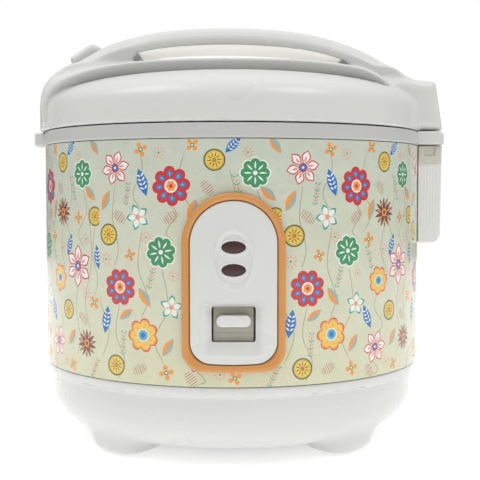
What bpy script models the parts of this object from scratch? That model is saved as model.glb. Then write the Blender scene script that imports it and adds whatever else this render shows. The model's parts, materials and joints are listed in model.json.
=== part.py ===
"""A lidded rice cooker, built as the separate pieces that it comes apart into on a bench.

Sizes are in millimetres and become metres where meshes are made. Every piece is drawn around the
cooker's own vertical axis, and the empty "cooker_axis" then places that axis so that the whole part
is centred over the world origin and stands on z = 0. The front faces -Y and the lid's hinge is at +X.
"""

import math

import bmesh
import bpy
from mathutils import Vector

MM = 0.001
GAP = 0.3

# Body, from the floor up.
SHELL_R = 120.0
SHELL_WALL = 0.8
SHELL_LOW = 49.0
SHELL_TOP = 183.4
RING_R = 120.4
RING_LOW = 183.8
RING_TOP = 192.1
RECESS_R = 112.8
LEDGE_Z = 185.2
LEDGE_R = 98.2
BASE_LIP_R = 119.5
BASE_TOP = 48.6
BASE_WALL = 2.4
BASE_FLOOR = 8.9
BOTTOM_COVER_R = 69.5

# Feet.
FOOT_CIRCLE_R = 88.0
FOOT_ANGLES = {"front_left": 225, "front_right": 315, "rear_right": 45, "rear_left": 135}
FOOT_SIDES = 16
PAD_R = 7.0
# Levels of a foot's lobe: (height, half width along the rim, half width outwards, shift outwards).
FOOT_LEVELS = [
    (1.0, 11.5, 11.0, 0.0), (2.2, 13.8, 13.0, 0.0), (5.0, 16.8, 15.8, 0.0), (10.0, 19.2, 17.6, 0.0),
    (16.0, 20.0, 18.2, 0.6), (24.0, 18.5, 15.6, 3.4),
]

# Pot, liner and heater.
POT_R = 94.5
POT_WALL = 1.5
POT_BOTTOM = 46.5
POT_FLANGE_R = 103.0
POT_FLANGE_Z = 185.5
LINER_R = 97.3
LINER_WALL = 0.8
LINER_FLOOR = 33.0
LINER_HOLE_R = 24.0
HEATER_R = 82.0
HEATER_LOW = 37.0
HEATER_TOP = 46.2
HEATER_HOLE_R = 18.5
TERMINAL_X = 50.0

# Thermostat and switch mechanism under the pot.
SENSOR_R = 17.0
SENSOR_TOP = 46.0
PLATE_LOW = 31.2
PLATE_TOP = 32.7
PLATE_HOLE_R = 10.5
ROCKER_Z = 22.0
ROCKER_PIVOT_Y = -40.0
ROCKER_FRONT_Y = -97.0
ROCKER_REAR_Y = 5.0
ROCKER_HALF = 1.2
ROCKER_PIN_R = 1.8
MAGNET_R = 8.0
KEY_ROD_Y = -101.75

# Front panel. U is the distance round the shell from the panel's middle.
PANEL_R_IN = 120.3
FRAME_R_OUT = 123.6
FACE_R_OUT = 123.0
FRAME_HALF = 28.0
FRAME_LOW = 57.3
FRAME_TOP = 154.6
FACE_HALF = 23.3
FACE_LOW = 61.7
FACE_TOP = 150.1
PANEL_COLUMNS = 12
LENS_HALF = (6.2, 3.1)
LENS_Z = {"cook": 125.1, "warm": 112.8}
OVAL_HALF = (9.8, 15.2)
OVAL_Z = 118.9
WINDOW_HALF = 12.4
WINDOW_LOW = 73.9
WINDOW_TOP = 93.4
KEY_BAR_HALF = 9.3
KEY_BAR_LOW = 82.5
KEY_BAR_TOP = 88.6
KEY_BAR_Y = -126.0

# Lid. Each surface is a superellipse dome over a wall.
LID_LOW = 192.7
LID_R = 119.9
LID_WALL = 2.4
LID_WALL_TOP = 203.0
DOME_RISE = 25.8
DOME_POWER = 2.6
CROWN_RISE = 34.2
CROWN_POWER = 2.85
CROWN_HALF = 45.0
CROWN_FOOT = 60.0
CROWN_FADE = (80.0, 118.0)
STRAP_BULGE = 4.5
WELL_HALF = (52.0, 33.0)
WELL_DEPTH = 12.0
LID_STEPS = 40

# Handle arch over the lid: (x, height of its top).
ARCH_TOP = [
    (-116.0, 222.5), (-108.0, 229.8), (-96.0, 237.6), (-80.0, 247.0), (-60.0, 253.4), (-35.0, 257.4),
    (0.0, 259.0), (35.0, 256.9), (60.0, 252.4), (80.0, 245.4), (96.0, 236.6), (108.0, 228.4),
    (113.0, 224.8),
]
ARCH_HALF = 24.0
ARCH_ROOT_HALF = 38.0
ARCH_THICK = 11.6
ARCH_WALL = 2.4
ARCH_GAP_X = (-62.0, 72.0)
ARCH_STATIONS = 18
ARCH_ENDS = (-108.0, 110.4)

# Release button, and the slider that it drives.
BUTTON_OUTLINE = [
    (-104.4, 241.0), (-103.6, 242.2), (-90.0, 250.3), (-88.2, 250.4), (-84.6, 248.2),
    (-84.6, 243.0), (-102.2, 232.5),
]
BUTTON_HALF = 10.5
STEM_X = (-99.0, -94.0)
STEM_HALF = 2.4
STEM_WEDGE_Z = (199.4, 204.4)
SLIDER_Z = (195.2, 198.2)
SLIDER_HALF = 6.0
HOOK_X = (-120.2, -118.4)
HOOK_LOW = 186.8

# Hinge at the right-hand rim.
HINGE_X = 129.5
HINGE_Z = 189.3
HINGE_HALF = 30.0
KNUCKLE_R = 3.5
PIN_R = 1.2
BRACKET_LOW = 184.3
HINGE_OUT = 133.0
BLOCK_LOW = 193.3

# Dew collector below the hinge, and the keeper at the left-hand rim.
COLLECTOR_HALF = 27.0
COLLECTOR_Z = (122.0, 183.9)
COLLECTOR_WALL = 1.6
KEEPER_OUT = 127.0
KEEPER_HALF = 12.0

# Steam vent at the back of the lid.
VENT_Y = 84.0
VENT_R = 16.0
VENT_RIM = 227.0
VENT_LOW = 206.0

# The part's box runs from the keeper to the hinge and from the key's bar to the back of the ring.
AXIS_X = (KEEPER_OUT - HINGE_OUT) / 2
AXIS_Y = (-KEY_BAR_Y - RING_R) / 2


# --- materials ---------------------------------------------------------------------------------

def material(name, colour, roughness, metallic=0.0, alpha=1.0):
    made = bpy.data.materials.new(name)
    made.use_nodes = True
    shader = made.node_tree.nodes["Principled BSDF"]
    shader.inputs["Base Color"].default_value = (*colour, 1.0)
    shader.inputs["Roughness"].default_value = roughness
    shader.inputs["Metallic"].default_value = metallic
    shader.inputs["Alpha"].default_value = alpha
    made.diffuse_color = (*colour, alpha)
    return made


FINISHES = {
    "white_plastic": ((0.86, 0.87, 0.86), 0.22, 0.0, 1.0),
    "ring_plastic": ((0.78, 0.78, 0.78), 0.35, 0.0, 1.0),
    "handle_plastic": ((0.84, 0.84, 0.78), 0.35, 0.0, 1.0),
    "printed_steel": ((0.76, 0.78, 0.68), 0.30, 0.0, 1.0),
    "orange_plastic": ((0.87, 0.52, 0.24), 0.30, 0.0, 1.0),
    "lens": ((0.16, 0.05, 0.04), 0.12, 0.0, 1.0),
    "key_plastic": ((0.50, 0.50, 0.40), 0.40, 0.0, 1.0),
    "clear_plastic": ((0.80, 0.80, 0.77), 0.25, 0.0, 1.0),
    "aluminium": ((0.80, 0.80, 0.81), 0.30, 1.0, 1.0),
    "cast_aluminium": ((0.60, 0.60, 0.61), 0.50, 1.0, 1.0),
    "galvanised_steel": ((0.62, 0.63, 0.64), 0.38, 1.0, 1.0),
    "spring_steel": ((0.45, 0.45, 0.47), 0.30, 1.0, 1.0),
    "brass": ((0.80, 0.62, 0.30), 0.30, 1.0, 1.0),
    "rubber": ((0.32, 0.32, 0.32), 0.80, 0.0, 1.0),
    "silicone": ((0.78, 0.78, 0.76), 0.60, 0.0, 1.0),
    "black_plastic": ((0.04, 0.04, 0.04), 0.45, 0.0, 1.0),
    "ferrite": ((0.10, 0.10, 0.11), 0.55, 0.2, 1.0),
    "lamp_glass": ((0.85, 0.50, 0.35), 0.10, 0.0, 1.0),
}


# --- mesh helpers ------------------------------------------------------------------------------

def place(name, points, faces, finish, origin=(0.0, 0.0, 0.0)):
    """One object from points in millimetres, with its origin at a point such as a joint's axis."""
    start = Vector(origin)
    mesh = bpy.data.meshes.new(name)
    mesh.from_pydata([(Vector(point) - start) * MM for point in points], [], faces)
    work = bmesh.new()
    work.from_mesh(mesh)
    bmesh.ops.recalc_face_normals(work, faces=work.faces)
    work.to_mesh(mesh)
    work.free()
    mesh.shade_smooth()
    mesh.set_sharp_from_angle(angle=math.radians(35))
    obj = bpy.data.objects.new(name, mesh)
    bpy.context.scene.collection.objects.link(obj)
    obj.parent = cooker_axis
    obj.location = start * MM
    if finish:
        mesh.materials.append(material(name, *FINISHES[finish]))
    return obj


def turn_axis(point, axis):
    """Takes a point drawn around Z to the same shape drawn around another axis."""
    x, y, z = point
    if axis == "X":
        return (z, x, y)
    if axis == "Y":
        return (y, z, x)
    return (x, y, z)


def lathe(name, profile, finish, steps=48, centre=(0.0, 0.0, 0.0), axis="Z", open_ends=False):
    """Turns a profile of (radius, height) points. With open_ends it starts and ends on the axis."""
    points = []
    rows = []
    for radius, height in profile:
        if radius < 1e-6:
            rows.append([len(points)] * steps)
            points.append((0.0, 0.0, height))
            continue
        rows.append(list(range(len(points), len(points) + steps)))
        for step in range(steps):
            angle = math.tau * step / steps
            points.append((radius * math.cos(angle), radius * math.sin(angle), height))
    pairs = list(zip(rows, rows[1:]))
    if not open_ends:
        pairs.append((rows[-1], rows[0]))
    faces = []
    for low, high in pairs:
        for step in range(steps):
            after = (step + 1) % steps
            corners = [low[step], low[after], high[after], high[step]]
            unique = list(dict.fromkeys(corners))
            if len(unique) > 2:
                faces.append(unique)
    moved = [Vector(turn_axis(point, axis)) + Vector(centre) for point in points]
    return place(name, moved, faces, finish, centre)


def cylinder(name, radius, low, high, finish, steps=20, centre=(0.0, 0.0), axis="Z"):
    """A solid cylinder along an axis. Centre is where its axis crosses the other two axes' plane."""
    at = {"Z": (centre[0], centre[1], 0.0), "X": (0.0, *centre), "Y": (centre[0], 0.0, centre[1])}[axis]
    profile = [(0.0, low), (radius, low), (radius, high), (0.0, high)]
    return lathe(name, profile, finish, steps, at, axis, open_ends=True)


def tube(name, inner, outer, low, high, finish, steps=24, centre=(0.0, 0.0)):
    """A ring or pipe about a vertical axis."""
    profile = [(inner, low), (outer, low), (outer, high), (inner, high)]
    return lathe(name, profile, finish, steps, (centre[0], centre[1], 0.0))


def loft(name, sections, finish, origin=(0.0, 0.0, 0.0)):
    """Joins sections of equal point count into one solid with both ends capped."""
    count = len(sections[0])
    points = [point for section in sections for point in section]
    faces = [list(range(count)), [len(points) - count + index for index in range(count)]]
    for row in range(len(sections) - 1):
        for index in range(count):
            after = (index + 1) % count
            here = row * count
            there = here + count
            faces.append([here + index, here + after, there + after, there + index])
    return place(name, points, faces, finish, origin)


def prism(name, outline, low, high, finish, axis="Z", origin=(0.0, 0.0, 0.0)):
    """Extrudes an outline along an axis. Outlines are (y, z) for X, (x, z) for Y and (x, y) for Z."""
    def at(pair, along):
        a, b = pair
        return {"X": (along, a, b), "Y": (a, along, b), "Z": (a, b, along)}[axis]
    sections = [[at(pair, along) for pair in outline] for along in (low, high)]
    return loft(name, sections, finish, origin)


def box(name, low, high, finish, origin=(0.0, 0.0, 0.0)):
    outline = [(low[0], low[1]), (high[0], low[1]), (high[0], high[1]), (low[0], high[1])]
    return prism(name, outline, low[2], high[2], finish, "Z", origin)


def sweep(name, path, radius, finish, sides=5):
    """A round wire along a path of points."""
    path = [Vector(point) for point in path]
    sections = []
    side = None
    for index, here in enumerate(path):
        ahead = path[min(index + 1, len(path) - 1)] - path[max(index - 1, 0)]
        ahead.normalize()
        if side is None:
            side = ahead.orthogonal().normalized()
        side = (side - ahead * side.dot(ahead)).normalized()
        other = ahead.cross(side)
        ring = []
        for step in range(sides):
            angle = math.tau * step / sides
            ring.append(here + side * radius * math.cos(angle) + other * radius * math.sin(angle))
        sections.append(ring)
    return loft(name, sections, finish)


def coil(name, centre, radius, low, high, turns, wire, finish, axis="Z", steps=10):
    """A helical spring about an axis through centre."""
    count = int(turns * steps)
    path = []
    for index in range(count + 1):
        angle = math.tau * index / steps
        height = low + (high - low) * index / count
        point = (radius * math.cos(angle), radius * math.sin(angle), height)
        path.append(Vector(turn_axis(point, axis)) + Vector(centre))
    return sweep(name, path, wire, finish)


def cut(obj, cutter, operation="DIFFERENCE"):
    """Adds a Boolean modifier and hides its cutter."""
    cutter.hide_render = True
    cutter.display_type = "WIRE"
    modifier = obj.modifiers.new(cutter.name, "BOOLEAN")
    modifier.operation = operation
    modifier.object = cutter


def circle(radius, centre=(0.0, 0.0), steps=16, start=0.0, end=360.0):
    """Points on an arc from start to end, in degrees; a full circle doesn't repeat its first point."""
    count = steps if end - start >= 360 else steps + 1
    found = []
    for index in range(count):
        angle = math.radians(start + (end - start) * index / steps)
        found.append((centre[0] + radius * math.cos(angle), centre[1] + radius * math.sin(angle)))
    return found


def ease(value, low, high):
    """A smooth step from 0 at low to 1 at high."""
    share = min(max((value - low) / (high - low), 0.0), 1.0)
    return share * share * (3 - 2 * share)


def spline(points, x):
    """Height at x on a smooth curve through (x, height) points."""
    last = len(points) - 2
    index = max(i for i in range(last + 1) if i == 0 or points[i][0] <= x)
    (x0, z0), (x1, z1) = points[index], points[index + 1]
    before = points[index - 1] if index > 0 else (2 * x0 - x1, 2 * z0 - z1)
    after = points[index + 2] if index < last else (2 * x1 - x0, 2 * z1 - z0)
    slope0 = (z1 - before[1]) / (x1 - before[0])
    slope1 = (after[1] - z0) / (after[0] - x0)
    width = x1 - x0
    t = (x - x0) / width
    return (
        (2 * t**3 - 3 * t**2 + 1) * z0
        + (t**3 - 2 * t**2 + t) * width * slope0
        + (3 * t**2 - 2 * t**3) * z1
        + (t**3 - t**2) * width * slope1
    )


# --- base and feet -----------------------------------------------------------------------------

def make_base():
    """The bowl-shaped base housing with its four moulded feet, its bottom cover and the rubber pads."""
    outline = [
        (0.0, BASE_FLOOR), (92.5, BASE_FLOOR), (99.5, 10.4), (106.2, 14.0), (111.8, 19.6), (115.2, 26.5),
        (116.0, 33.0), (116.0, 40.5), (BASE_LIP_R, 44.0), (BASE_LIP_R, BASE_TOP), (0.0, BASE_TOP),
    ]
    base = lathe("base_housing", outline, "white_plastic", 48, open_ends=True)
    for name, degrees in FOOT_ANGLES.items():
        cut(base, make_foot(name, degrees), "UNION")
    lip = BASE_LIP_R - BASE_WALL
    hollow = [
        (0.0, 0.0), (BOTTOM_COVER_R + GAP, 0.0), (BOTTOM_COVER_R + GAP, 11.1), (91.5, 11.1), (98.4, 12.6),
        (104.6, 15.9), (109.8, 21.1), (112.8, 27.2), (113.6, 33.5), (113.6, 42.0), (lip, 46.0),
        (lip, BASE_TOP + 5), (0.0, BASE_TOP + 5),
    ]
    cut(base, lathe("cut_base_hollow", hollow, None, 48, open_ends=True))
    cut(base, box("cut_inlet", (-15.4, 95.0, 17.6), (15.4, 130.0, 38.4), None))

    cover = lathe(
        "bottom_cover",
        [(0.0, 8.4), (66.0, 8.4), (BOTTOM_COVER_R, 9.3), (BOTTOM_COVER_R, 10.3), (0.0, 10.3)],
        "galvanised_steel", 32, open_ends=True,
    )
    for index in range(6):
        angle = math.radians(60 * index + 30)
        along = Vector((math.cos(angle), math.sin(angle)))
        across = Vector((-along.y, along.x)) * 1.5
        near, far = along * 24, along * 54
        outline = [near - across, far - across, far + across, near + across]
        cut(cover, prism(f"cut_vent_slot_{index}", [tuple(p) for p in outline], 6.0, 12.0, None))


def make_foot(name, degrees):
    """The lobe of one foot, to be joined to the bowl, and the rubber pad under it."""
    angle = math.radians(degrees)
    out = Vector((math.cos(angle), math.sin(angle), 0.0))
    side = Vector((-out.y, out.x, 0.0))
    sections = []
    for height, half_side, half_out, shift in FOOT_LEVELS:
        section = []
        for index in range(FOOT_SIDES):
            turn = math.tau * index / FOOT_SIDES
            a, b = math.cos(turn), math.sin(turn)
            a = math.copysign(abs(a) ** 0.7, a) * half_side
            b = math.copysign(abs(b) ** 0.7, b) * half_out
            section.append(out * (FOOT_CIRCLE_R + shift + b) + side * a + Vector((0, 0, height)))
        sections.append(section)
    centre = out * FOOT_CIRCLE_R
    pad_top = FOOT_LEVELS[0][0] - GAP
    cylinder(f"foot_pad_{name}", PAD_R, 0.0, pad_top, "rubber", 16, (centre.x, centre.y))
    return loft(f"join_foot_{name}", sections, None)


# --- shell, ring and pot -----------------------------------------------------------------------

def make_shell():
    """The printed steel shell, with the opening that the front panel covers."""
    profile = [
        (SHELL_R - SHELL_WALL, SHELL_LOW), (SHELL_R, SHELL_LOW),
        (SHELL_R, SHELL_TOP), (SHELL_R - SHELL_WALL, SHELL_TOP),
    ]
    shell = lathe("outer_shell", profile, "printed_steel", 48)
    cut(shell, box("cut_panel_opening", (-18.0, -130.0, 66.0), (18.0, -100.0, 140.0), None))


def make_ring():
    """The collar between shell and lid, with a notch for the latch hook."""
    profile = [
        (RING_R, RING_LOW), (RING_R, RING_TOP), (RECESS_R, RING_TOP),
        (RECESS_R, LEDGE_Z), (LEDGE_R, LEDGE_Z), (LEDGE_R, LEDGE_Z - 2.6),
        (SHELL_R - 2.1, LEDGE_Z - 2.6), (SHELL_R - 2.1, RING_LOW),
    ]
    ring = lathe("top_ring", profile, "ring_plastic", 48)
    cut(ring, box("cut_hook_notch", (-126.0, -9.0, 186.0), (-108.0, 9.0, 196.0), None))


def make_pot():
    """The lift-out cooking pot, standing on the heater with its flange just over the ring's ledge."""
    inside = POT_R - POT_WALL
    profile = [
        (0.0, POT_BOTTOM), (76.0, POT_BOTTOM), (89.0, 51.5), (POT_R, 66.0),
        (POT_R, POT_FLANGE_Z), (POT_FLANGE_R, POT_FLANGE_Z), (POT_FLANGE_R, POT_FLANGE_Z + 1.2),
        (inside, POT_FLANGE_Z + 1.2), (inside, 66.4), (87.9, 52.6), (75.8, POT_BOTTOM + POT_WALL),
        (0.0, POT_BOTTOM + POT_WALL),
    ]
    lathe("inner_pot", profile, "aluminium", 40, open_ends=True)


def make_liner():
    """The inner wall round the pot, with holes for the thermostat and the heater's terminals."""
    top = LEDGE_Z - 2.6 - GAP
    inside = LINER_R - LINER_WALL
    profile = [
        (LINER_HOLE_R, LINER_FLOOR), (LINER_R, LINER_FLOOR), (LINER_R, top), (inside, top),
        (inside, LINER_FLOOR + LINER_WALL), (LINER_HOLE_R, LINER_FLOOR + LINER_WALL),
    ]
    liner = lathe("inner_liner", profile, "galvanised_steel", 40)
    for index, x in enumerate((-TERMINAL_X, TERMINAL_X)):
        cut(liner, cylinder(f"cut_terminal_{index}", 5.0, 30.0, 36.0, None, 12, (x, 20.0)))


def make_heater():
    """The cast heating plate, its two terminals and the keep-warm band round the pot."""
    profile = [
        (HEATER_HOLE_R, HEATER_LOW), (60.0, HEATER_LOW), (66.0, HEATER_LOW - 2.0),
        (76.0, HEATER_LOW - 2.0), (HEATER_R, HEATER_LOW + 3.0), (HEATER_R, HEATER_TOP - 2.0),
        (HEATER_R - 4.0, HEATER_TOP), (HEATER_HOLE_R, HEATER_TOP),
    ]
    lathe("heater_plate", profile, "cast_aluminium", 32)
    for name, x in (("left", -TERMINAL_X), ("right", TERMINAL_X)):
        profile = [(0.0, 22.0), (1.6, 22.0), (1.6, 29.0), (3.2, 29.0), (3.2, 36.4), (0.0, 36.4)]
        lathe(f"heater_terminal_{name}", profile, "brass", 12, (x, 20.0, 0.0), open_ends=True)
    tube("keep_warm_band", LINER_R + GAP, LINER_R + 1.5, 96.0, 116.0, "cast_aluminium", 40)


# --- thermostat and switch ---------------------------------------------------------------------

def make_thermostat():
    """The sprung sensor cap in the middle of the heater, with the seat that the magnet meets."""
    inside = SENSOR_R - 1.2
    profile = [
        (0.0, SENSOR_TOP), (SENSOR_R - 1.5, SENSOR_TOP), (SENSOR_R, SENSOR_TOP - 1.5), (SENSOR_R, 37.0),
        (inside, 37.0), (inside, SENSOR_TOP - 1.6), (0.0, SENSOR_TOP - 1.6),
    ]
    lathe("sensor_cap", profile, "aluminium", 28, open_ends=True)
    cylinder("sensor_seat", 8.8, 35.6, SENSOR_TOP - 1.6 - GAP, "ferrite", 20)
    coil("sensor_spring", (0, 0, 0), 12.3, PLATE_TOP + 1.0, SENSOR_TOP - 2.7, 3, 0.7, "spring_steel")


def make_bracket():
    """The steel bracket under the liner that carries the rocker's pin and the switch."""
    outline = [
        (-22.0, PLATE_TOP), (-22.0, PLATE_LOW), (-13.2, PLATE_LOW), (-13.2, 16.0), (-12.0, 16.0),
        (-12.0, PLATE_LOW), (12.0, PLATE_LOW), (12.0, 16.0), (13.2, 16.0), (13.2, PLATE_LOW),
        (22.0, PLATE_LOW), (22.0, PLATE_TOP),
    ]
    bracket = prism("switch_bracket", outline, -62.0, 24.0, "galvanised_steel", "Y")
    cut(bracket, cylinder("cut_magnet_hole", PLATE_HOLE_R, 28.0, 36.0, None, 24))
    pin_at = (ROCKER_PIVOT_Y, ROCKER_Z)
    cut(bracket, cylinder("cut_bracket_pin", ROCKER_PIN_R + GAP, -16.0, 16.0, None, 16, pin_at, "X"))
    cylinder("rocker_pin", ROCKER_PIN_R, -15.0, 15.0, "galvanised_steel", 12, pin_at, "X")
    box("micro_switch", (13.6, -30.0, 17.5), (21.5, -8.0, 30.6), "black_plastic")
    cylinder("thermal_fuse", 2.4, -16.0, 10.0, "silicone", 10, (30.0, 28.0), "Y")


def make_rocker():
    """The rocker: the key pushes its front end down, and its back end lifts the magnet."""
    low, high = ROCKER_Z - ROCKER_HALF, ROCKER_Z + ROCKER_HALF
    hub = circle(4.6, (ROCKER_PIVOT_Y, ROCKER_Z), 8, 20.0, 160.0)
    under = circle(4.6, (ROCKER_PIVOT_Y, ROCKER_Z), 8, 200.0, 340.0)
    outline = [(ROCKER_REAR_Y, low), (ROCKER_REAR_Y, high), *hub]
    outline += [(ROCKER_FRONT_Y, high), (ROCKER_FRONT_Y, low), *under]
    pivot = (0.0, ROCKER_PIVOT_Y, ROCKER_Z)
    rocker = prism("rocker", outline, -4.0, 4.0, "galvanised_steel", "X", pivot)
    hole = cylinder("cut_rocker_pin", ROCKER_PIN_R + GAP, -6.0, 6.0, None, 16, pivot[1:], "X")
    cut(rocker, hole)


def make_magnet():
    """The magnet on its short rod, standing on the rocker's back end."""
    profile = [
        (0.0, 23.8), (1.4, 23.8), (1.4, 25.5), (MAGNET_R, 25.5), (MAGNET_R, 28.0), (0.0, 28.0),
    ]
    lathe("magnet", profile, "ferrite", 20, open_ends=True)


def make_key():
    """The switch key: a plate behind the window, the bar that a finger pushes, and its rod."""
    box("key_plate", (-10.2, -118.3, 63.0), (10.2, -117.0, 103.0), "key_plastic")
    outline = []
    end = (KEY_BAR_TOP - KEY_BAR_LOW) / 2
    middle = KEY_BAR_LOW + end
    outline += circle(end, (KEY_BAR_HALF - end, middle), 6, -90.0, 90.0)
    outline += circle(end, (end - KEY_BAR_HALF, middle), 6, 90.0, 270.0)
    prism("key_bar", outline, KEY_BAR_Y, -118.6, "white_plastic", "Y")
    back, front = KEY_ROD_Y + 1.25, KEY_ROD_Y - 1.25
    foot = ROCKER_Z + ROCKER_HALF + GAP
    rod = [
        (-116.7, 92.0), (-114.7, 92.0), (-114.7, 68.5), (back, 68.5), (back, foot + 2.6),
        (ROCKER_FRONT_Y + 4.0, foot + 2.6), (ROCKER_FRONT_Y + 4.0, foot), (front, foot), (front, 65.5),
        (-116.7, 65.5),
    ]
    prism("key_rod", rod, -3.0, 3.0, "black_plastic", "X")


# --- front panel -------------------------------------------------------------------------------

def panel_columns(half, low, top):
    """(u, lowest z, highest z) across a panel with a round top and rounded lower corners."""
    corner = 11.0
    columns = []
    for index in range(PANEL_COLUMNS + 1):
        u = half * math.sin(math.pi * (index / PANEL_COLUMNS - 0.5))
        high = top - half + math.sqrt(max(half * half - u * u, 0.0))
        inset = max(abs(u) - (half - corner), 0.0)
        bottom = low + corner - math.sqrt(max(corner * corner - inset * inset, 0.0))
        columns.append((u, bottom + 1.2 * (u / half) ** 2, high))
    return columns


def wrapped_plate(name, columns, r_in, r_out, finish):
    """A plate that follows the round shell, from columns of (u, lowest z, highest z)."""
    sections = []
    for u, low, high in columns:
        angle = u / SHELL_R
        section = []
        for radius, z in ((r_in, low), (r_out, low), (r_out, high), (r_in, high)):
            section.append((radius * math.sin(angle), -radius * math.cos(angle), z))
        sections.append(section)
    return loft(name, sections, finish)


def ellipse(half, centre, steps=20):
    unit = circle(1.0, (0.0, 0.0), steps)
    return [(centre[0] + half[0] * a, centre[1] + half[1] * b) for a, b in unit]


def make_panel():
    """The orange surround, the white face with its windows, the two lenses and their lamps."""
    around = panel_columns(FRAME_HALF, FRAME_LOW, FRAME_TOP)
    frame = wrapped_plate("panel_frame", around, PANEL_R_IN, FRAME_R_OUT, "orange_plastic")
    hole = panel_columns(FACE_HALF + GAP, FACE_LOW - GAP, FACE_TOP + GAP)
    cut(frame, wrapped_plate("cut_face", hole, PANEL_R_IN - 4, FRAME_R_OUT + 4, None))

    middle = panel_columns(FACE_HALF, FACE_LOW, FACE_TOP)
    face = wrapped_plate("panel_face", middle, PANEL_R_IN, FACE_R_OUT, "white_plastic")
    cut(face, prism("cut_oval", ellipse(OVAL_HALF, (0.0, OVAL_Z), 24), -130.0, -122.0, None, "Y"))
    recess = [(-14.6, 70.5), (14.6, 70.5), (14.6, 95.4), (-14.6, 95.4)]
    cut(face, prism("cut_key_recess", recess, -130.0, -121.4, None, "Y"))
    window = [
        (-WINDOW_HALF, WINDOW_LOW), (WINDOW_HALF, WINDOW_LOW),
        (WINDOW_HALF, WINDOW_TOP), (-WINDOW_HALF, WINDOW_TOP),
    ]
    cut(face, prism("cut_key_window", window, -130.0, -110.0, None, "Y"))
    for name, z in LENS_Z.items():
        hole = ellipse((LENS_HALF[0] + GAP, LENS_HALF[1] + GAP), (0.0, z))
        cut(face, prism(f"cut_lens_{name}", hole, -130.0, -110.0, None, "Y"))
        prism(f"lens_{name}", ellipse(LENS_HALF, (0.0, z)), -122.4, -119.4, "lens", "Y")
        cylinder(f"lamp_{name}", 2.6, -119.0, -111.4, "lamp_glass", 12, (0.0, z), "Y")


# --- power inlet -------------------------------------------------------------------------------

def make_inlet():
    """The recessed socket at the back that takes a detachable lead, and its two pins."""
    housing = box("power_inlet", (-15.0, 99.0, 18.0), (15.0, 115.4, 38.0), "black_plastic")
    cut(housing, box("cut_socket", (-11.5, 102.0, 21.0), (11.5, 120.0, 35.0), None))
    for name, x in (("left", -5.0), ("right", 5.0)):
        cylinder(f"inlet_pin_{name}", 2.0, 102.3, 112.0, "brass", 10, (x, 28.0), "Y")


# --- hinge, keeper and dew collector -----------------------------------------------------------

def make_hinge_bracket():
    """The fixed hinge bracket on the ring, its pin and the spring that lifts the lid."""
    top = HINGE_Z + KNUCKLE_R
    corner = circle(KNUCKLE_R, (HINGE_X, HINGE_Z), 6, 0.0, 90.0)
    outline = [(112.0, BRACKET_LOW), (HINGE_OUT, BRACKET_LOW), *corner, (112.0, top)]
    bracket = prism("hinge_bracket", outline, -HINGE_HALF, HINGE_HALF, "white_plastic", "Y")
    cut(bracket, cylinder("cut_bracket_ring", RING_R + GAP, 180.0, 200.0, None, 144))
    channel = ((HINGE_X - KNUCKLE_R - 0.5, -24.3, BRACKET_LOW + 1.2), (140.0, 24.3, 200.0))
    cut(bracket, box("cut_hinge_channel", *channel, None))
    drain = ((HINGE_X - 2.5, -16.0, BRACKET_LOW - 5), (HINGE_X + 0.5, 16.0, BRACKET_LOW + 3))
    cut(bracket, box("cut_dew_drain", *drain, None))
    hole = cylinder("cut_hinge_pin", PIN_R + GAP, -29.0, 29.0, None, 12, (HINGE_X, HINGE_Z), "Y")
    cut(bracket, hole)
    cylinder("hinge_pin", PIN_R, -28.6, 28.6, "spring_steel", 12, (HINGE_X, HINGE_Z), "Y")
    coil("hinge_spring", (HINGE_X, 0, HINGE_Z), 2.3, -5.4, 5.4, 4, 0.55, "spring_steel", "Y", 9)


def make_keeper():
    """The block on the ring's left side that the latch closes on."""
    outline = [
        (-KEEPER_OUT, 184.4), (-KEEPER_OUT, 191.6), (-126.4, 192.3), (-112.0, 192.3),
        (-112.0, 183.8), (-126.4, 183.8),
    ]
    keeper = prism("latch_keeper", outline, -KEEPER_HALF, KEEPER_HALF, "white_plastic", "Y")
    cut(keeper, cylinder("cut_keeper_ring", RING_R + GAP, 180.0, 200.0, None, 128))
    cut(keeper, box("cut_keeper_pocket", (-125.2, -9.0, 186.0), (-100.0, 9.0, 189.4), None))
    cut(keeper, box("cut_keeper_mouth", (-121.2, -9.0, 189.0), (-100.0, 9.0, 200.0), None))


def make_collector():
    """The clear cup that catches condensation under the hinge; it pulls off sideways."""
    low, high = COLLECTOR_Z
    out = HINGE_OUT - 0.2
    outline = [
        (110.0, low), (out - 6.0, low), (out - 2.0, low + 1.8), (out - 0.4, low + 6.0), (out, high),
        (110.0, high),
    ]
    cup = prism("dew_collector", outline, -COLLECTOR_HALF, COLLECTOR_HALF, "clear_plastic", "Y")
    cut(cup, cylinder("cut_collector_shell", RING_R + GAP, low - 5, high + 5, None, 144))
    wall = COLLECTOR_WALL
    inner = [
        (100.0, low + wall), (out - 6.5, low + wall), (out - wall - 1.0, low + 6.0),
        (out - wall, high + 5), (100.0, high + 5),
    ]
    hollow = prism("cut_collector_hollow", inner, wall - COLLECTOR_HALF, COLLECTOR_HALF - wall, None, "Y")
    cut(hollow, cylinder("cut_collector_inner", RING_R + GAP + 1.4, low - 8, high + 8, None, 144))
    cut(cup, hollow)
    notch = ((121.4, -COLLECTOR_HALF - 8, 177.0), (127.8, -COLLECTOR_HALF + wall + 0.8, 190.0))
    cut(cup, box("cut_collector_notch", *notch, None))


# --- lid ---------------------------------------------------------------------------------------

def dome(radius, rise, power):
    """Height of a superellipse dome at a radius, over the top of the lid's wall."""
    share = min(radius / LID_R, 1.0)
    return LID_WALL_TOP + rise * (1 - share**power) ** (1 / power)


def crown_share(x, y):
    """How much of the raised crown there is at a point: a band that fades out towards the hinge."""
    return (1 - ease(abs(y), CROWN_HALF, CROWN_FOOT)) * (1 - ease(x, *CROWN_FADE))


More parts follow.
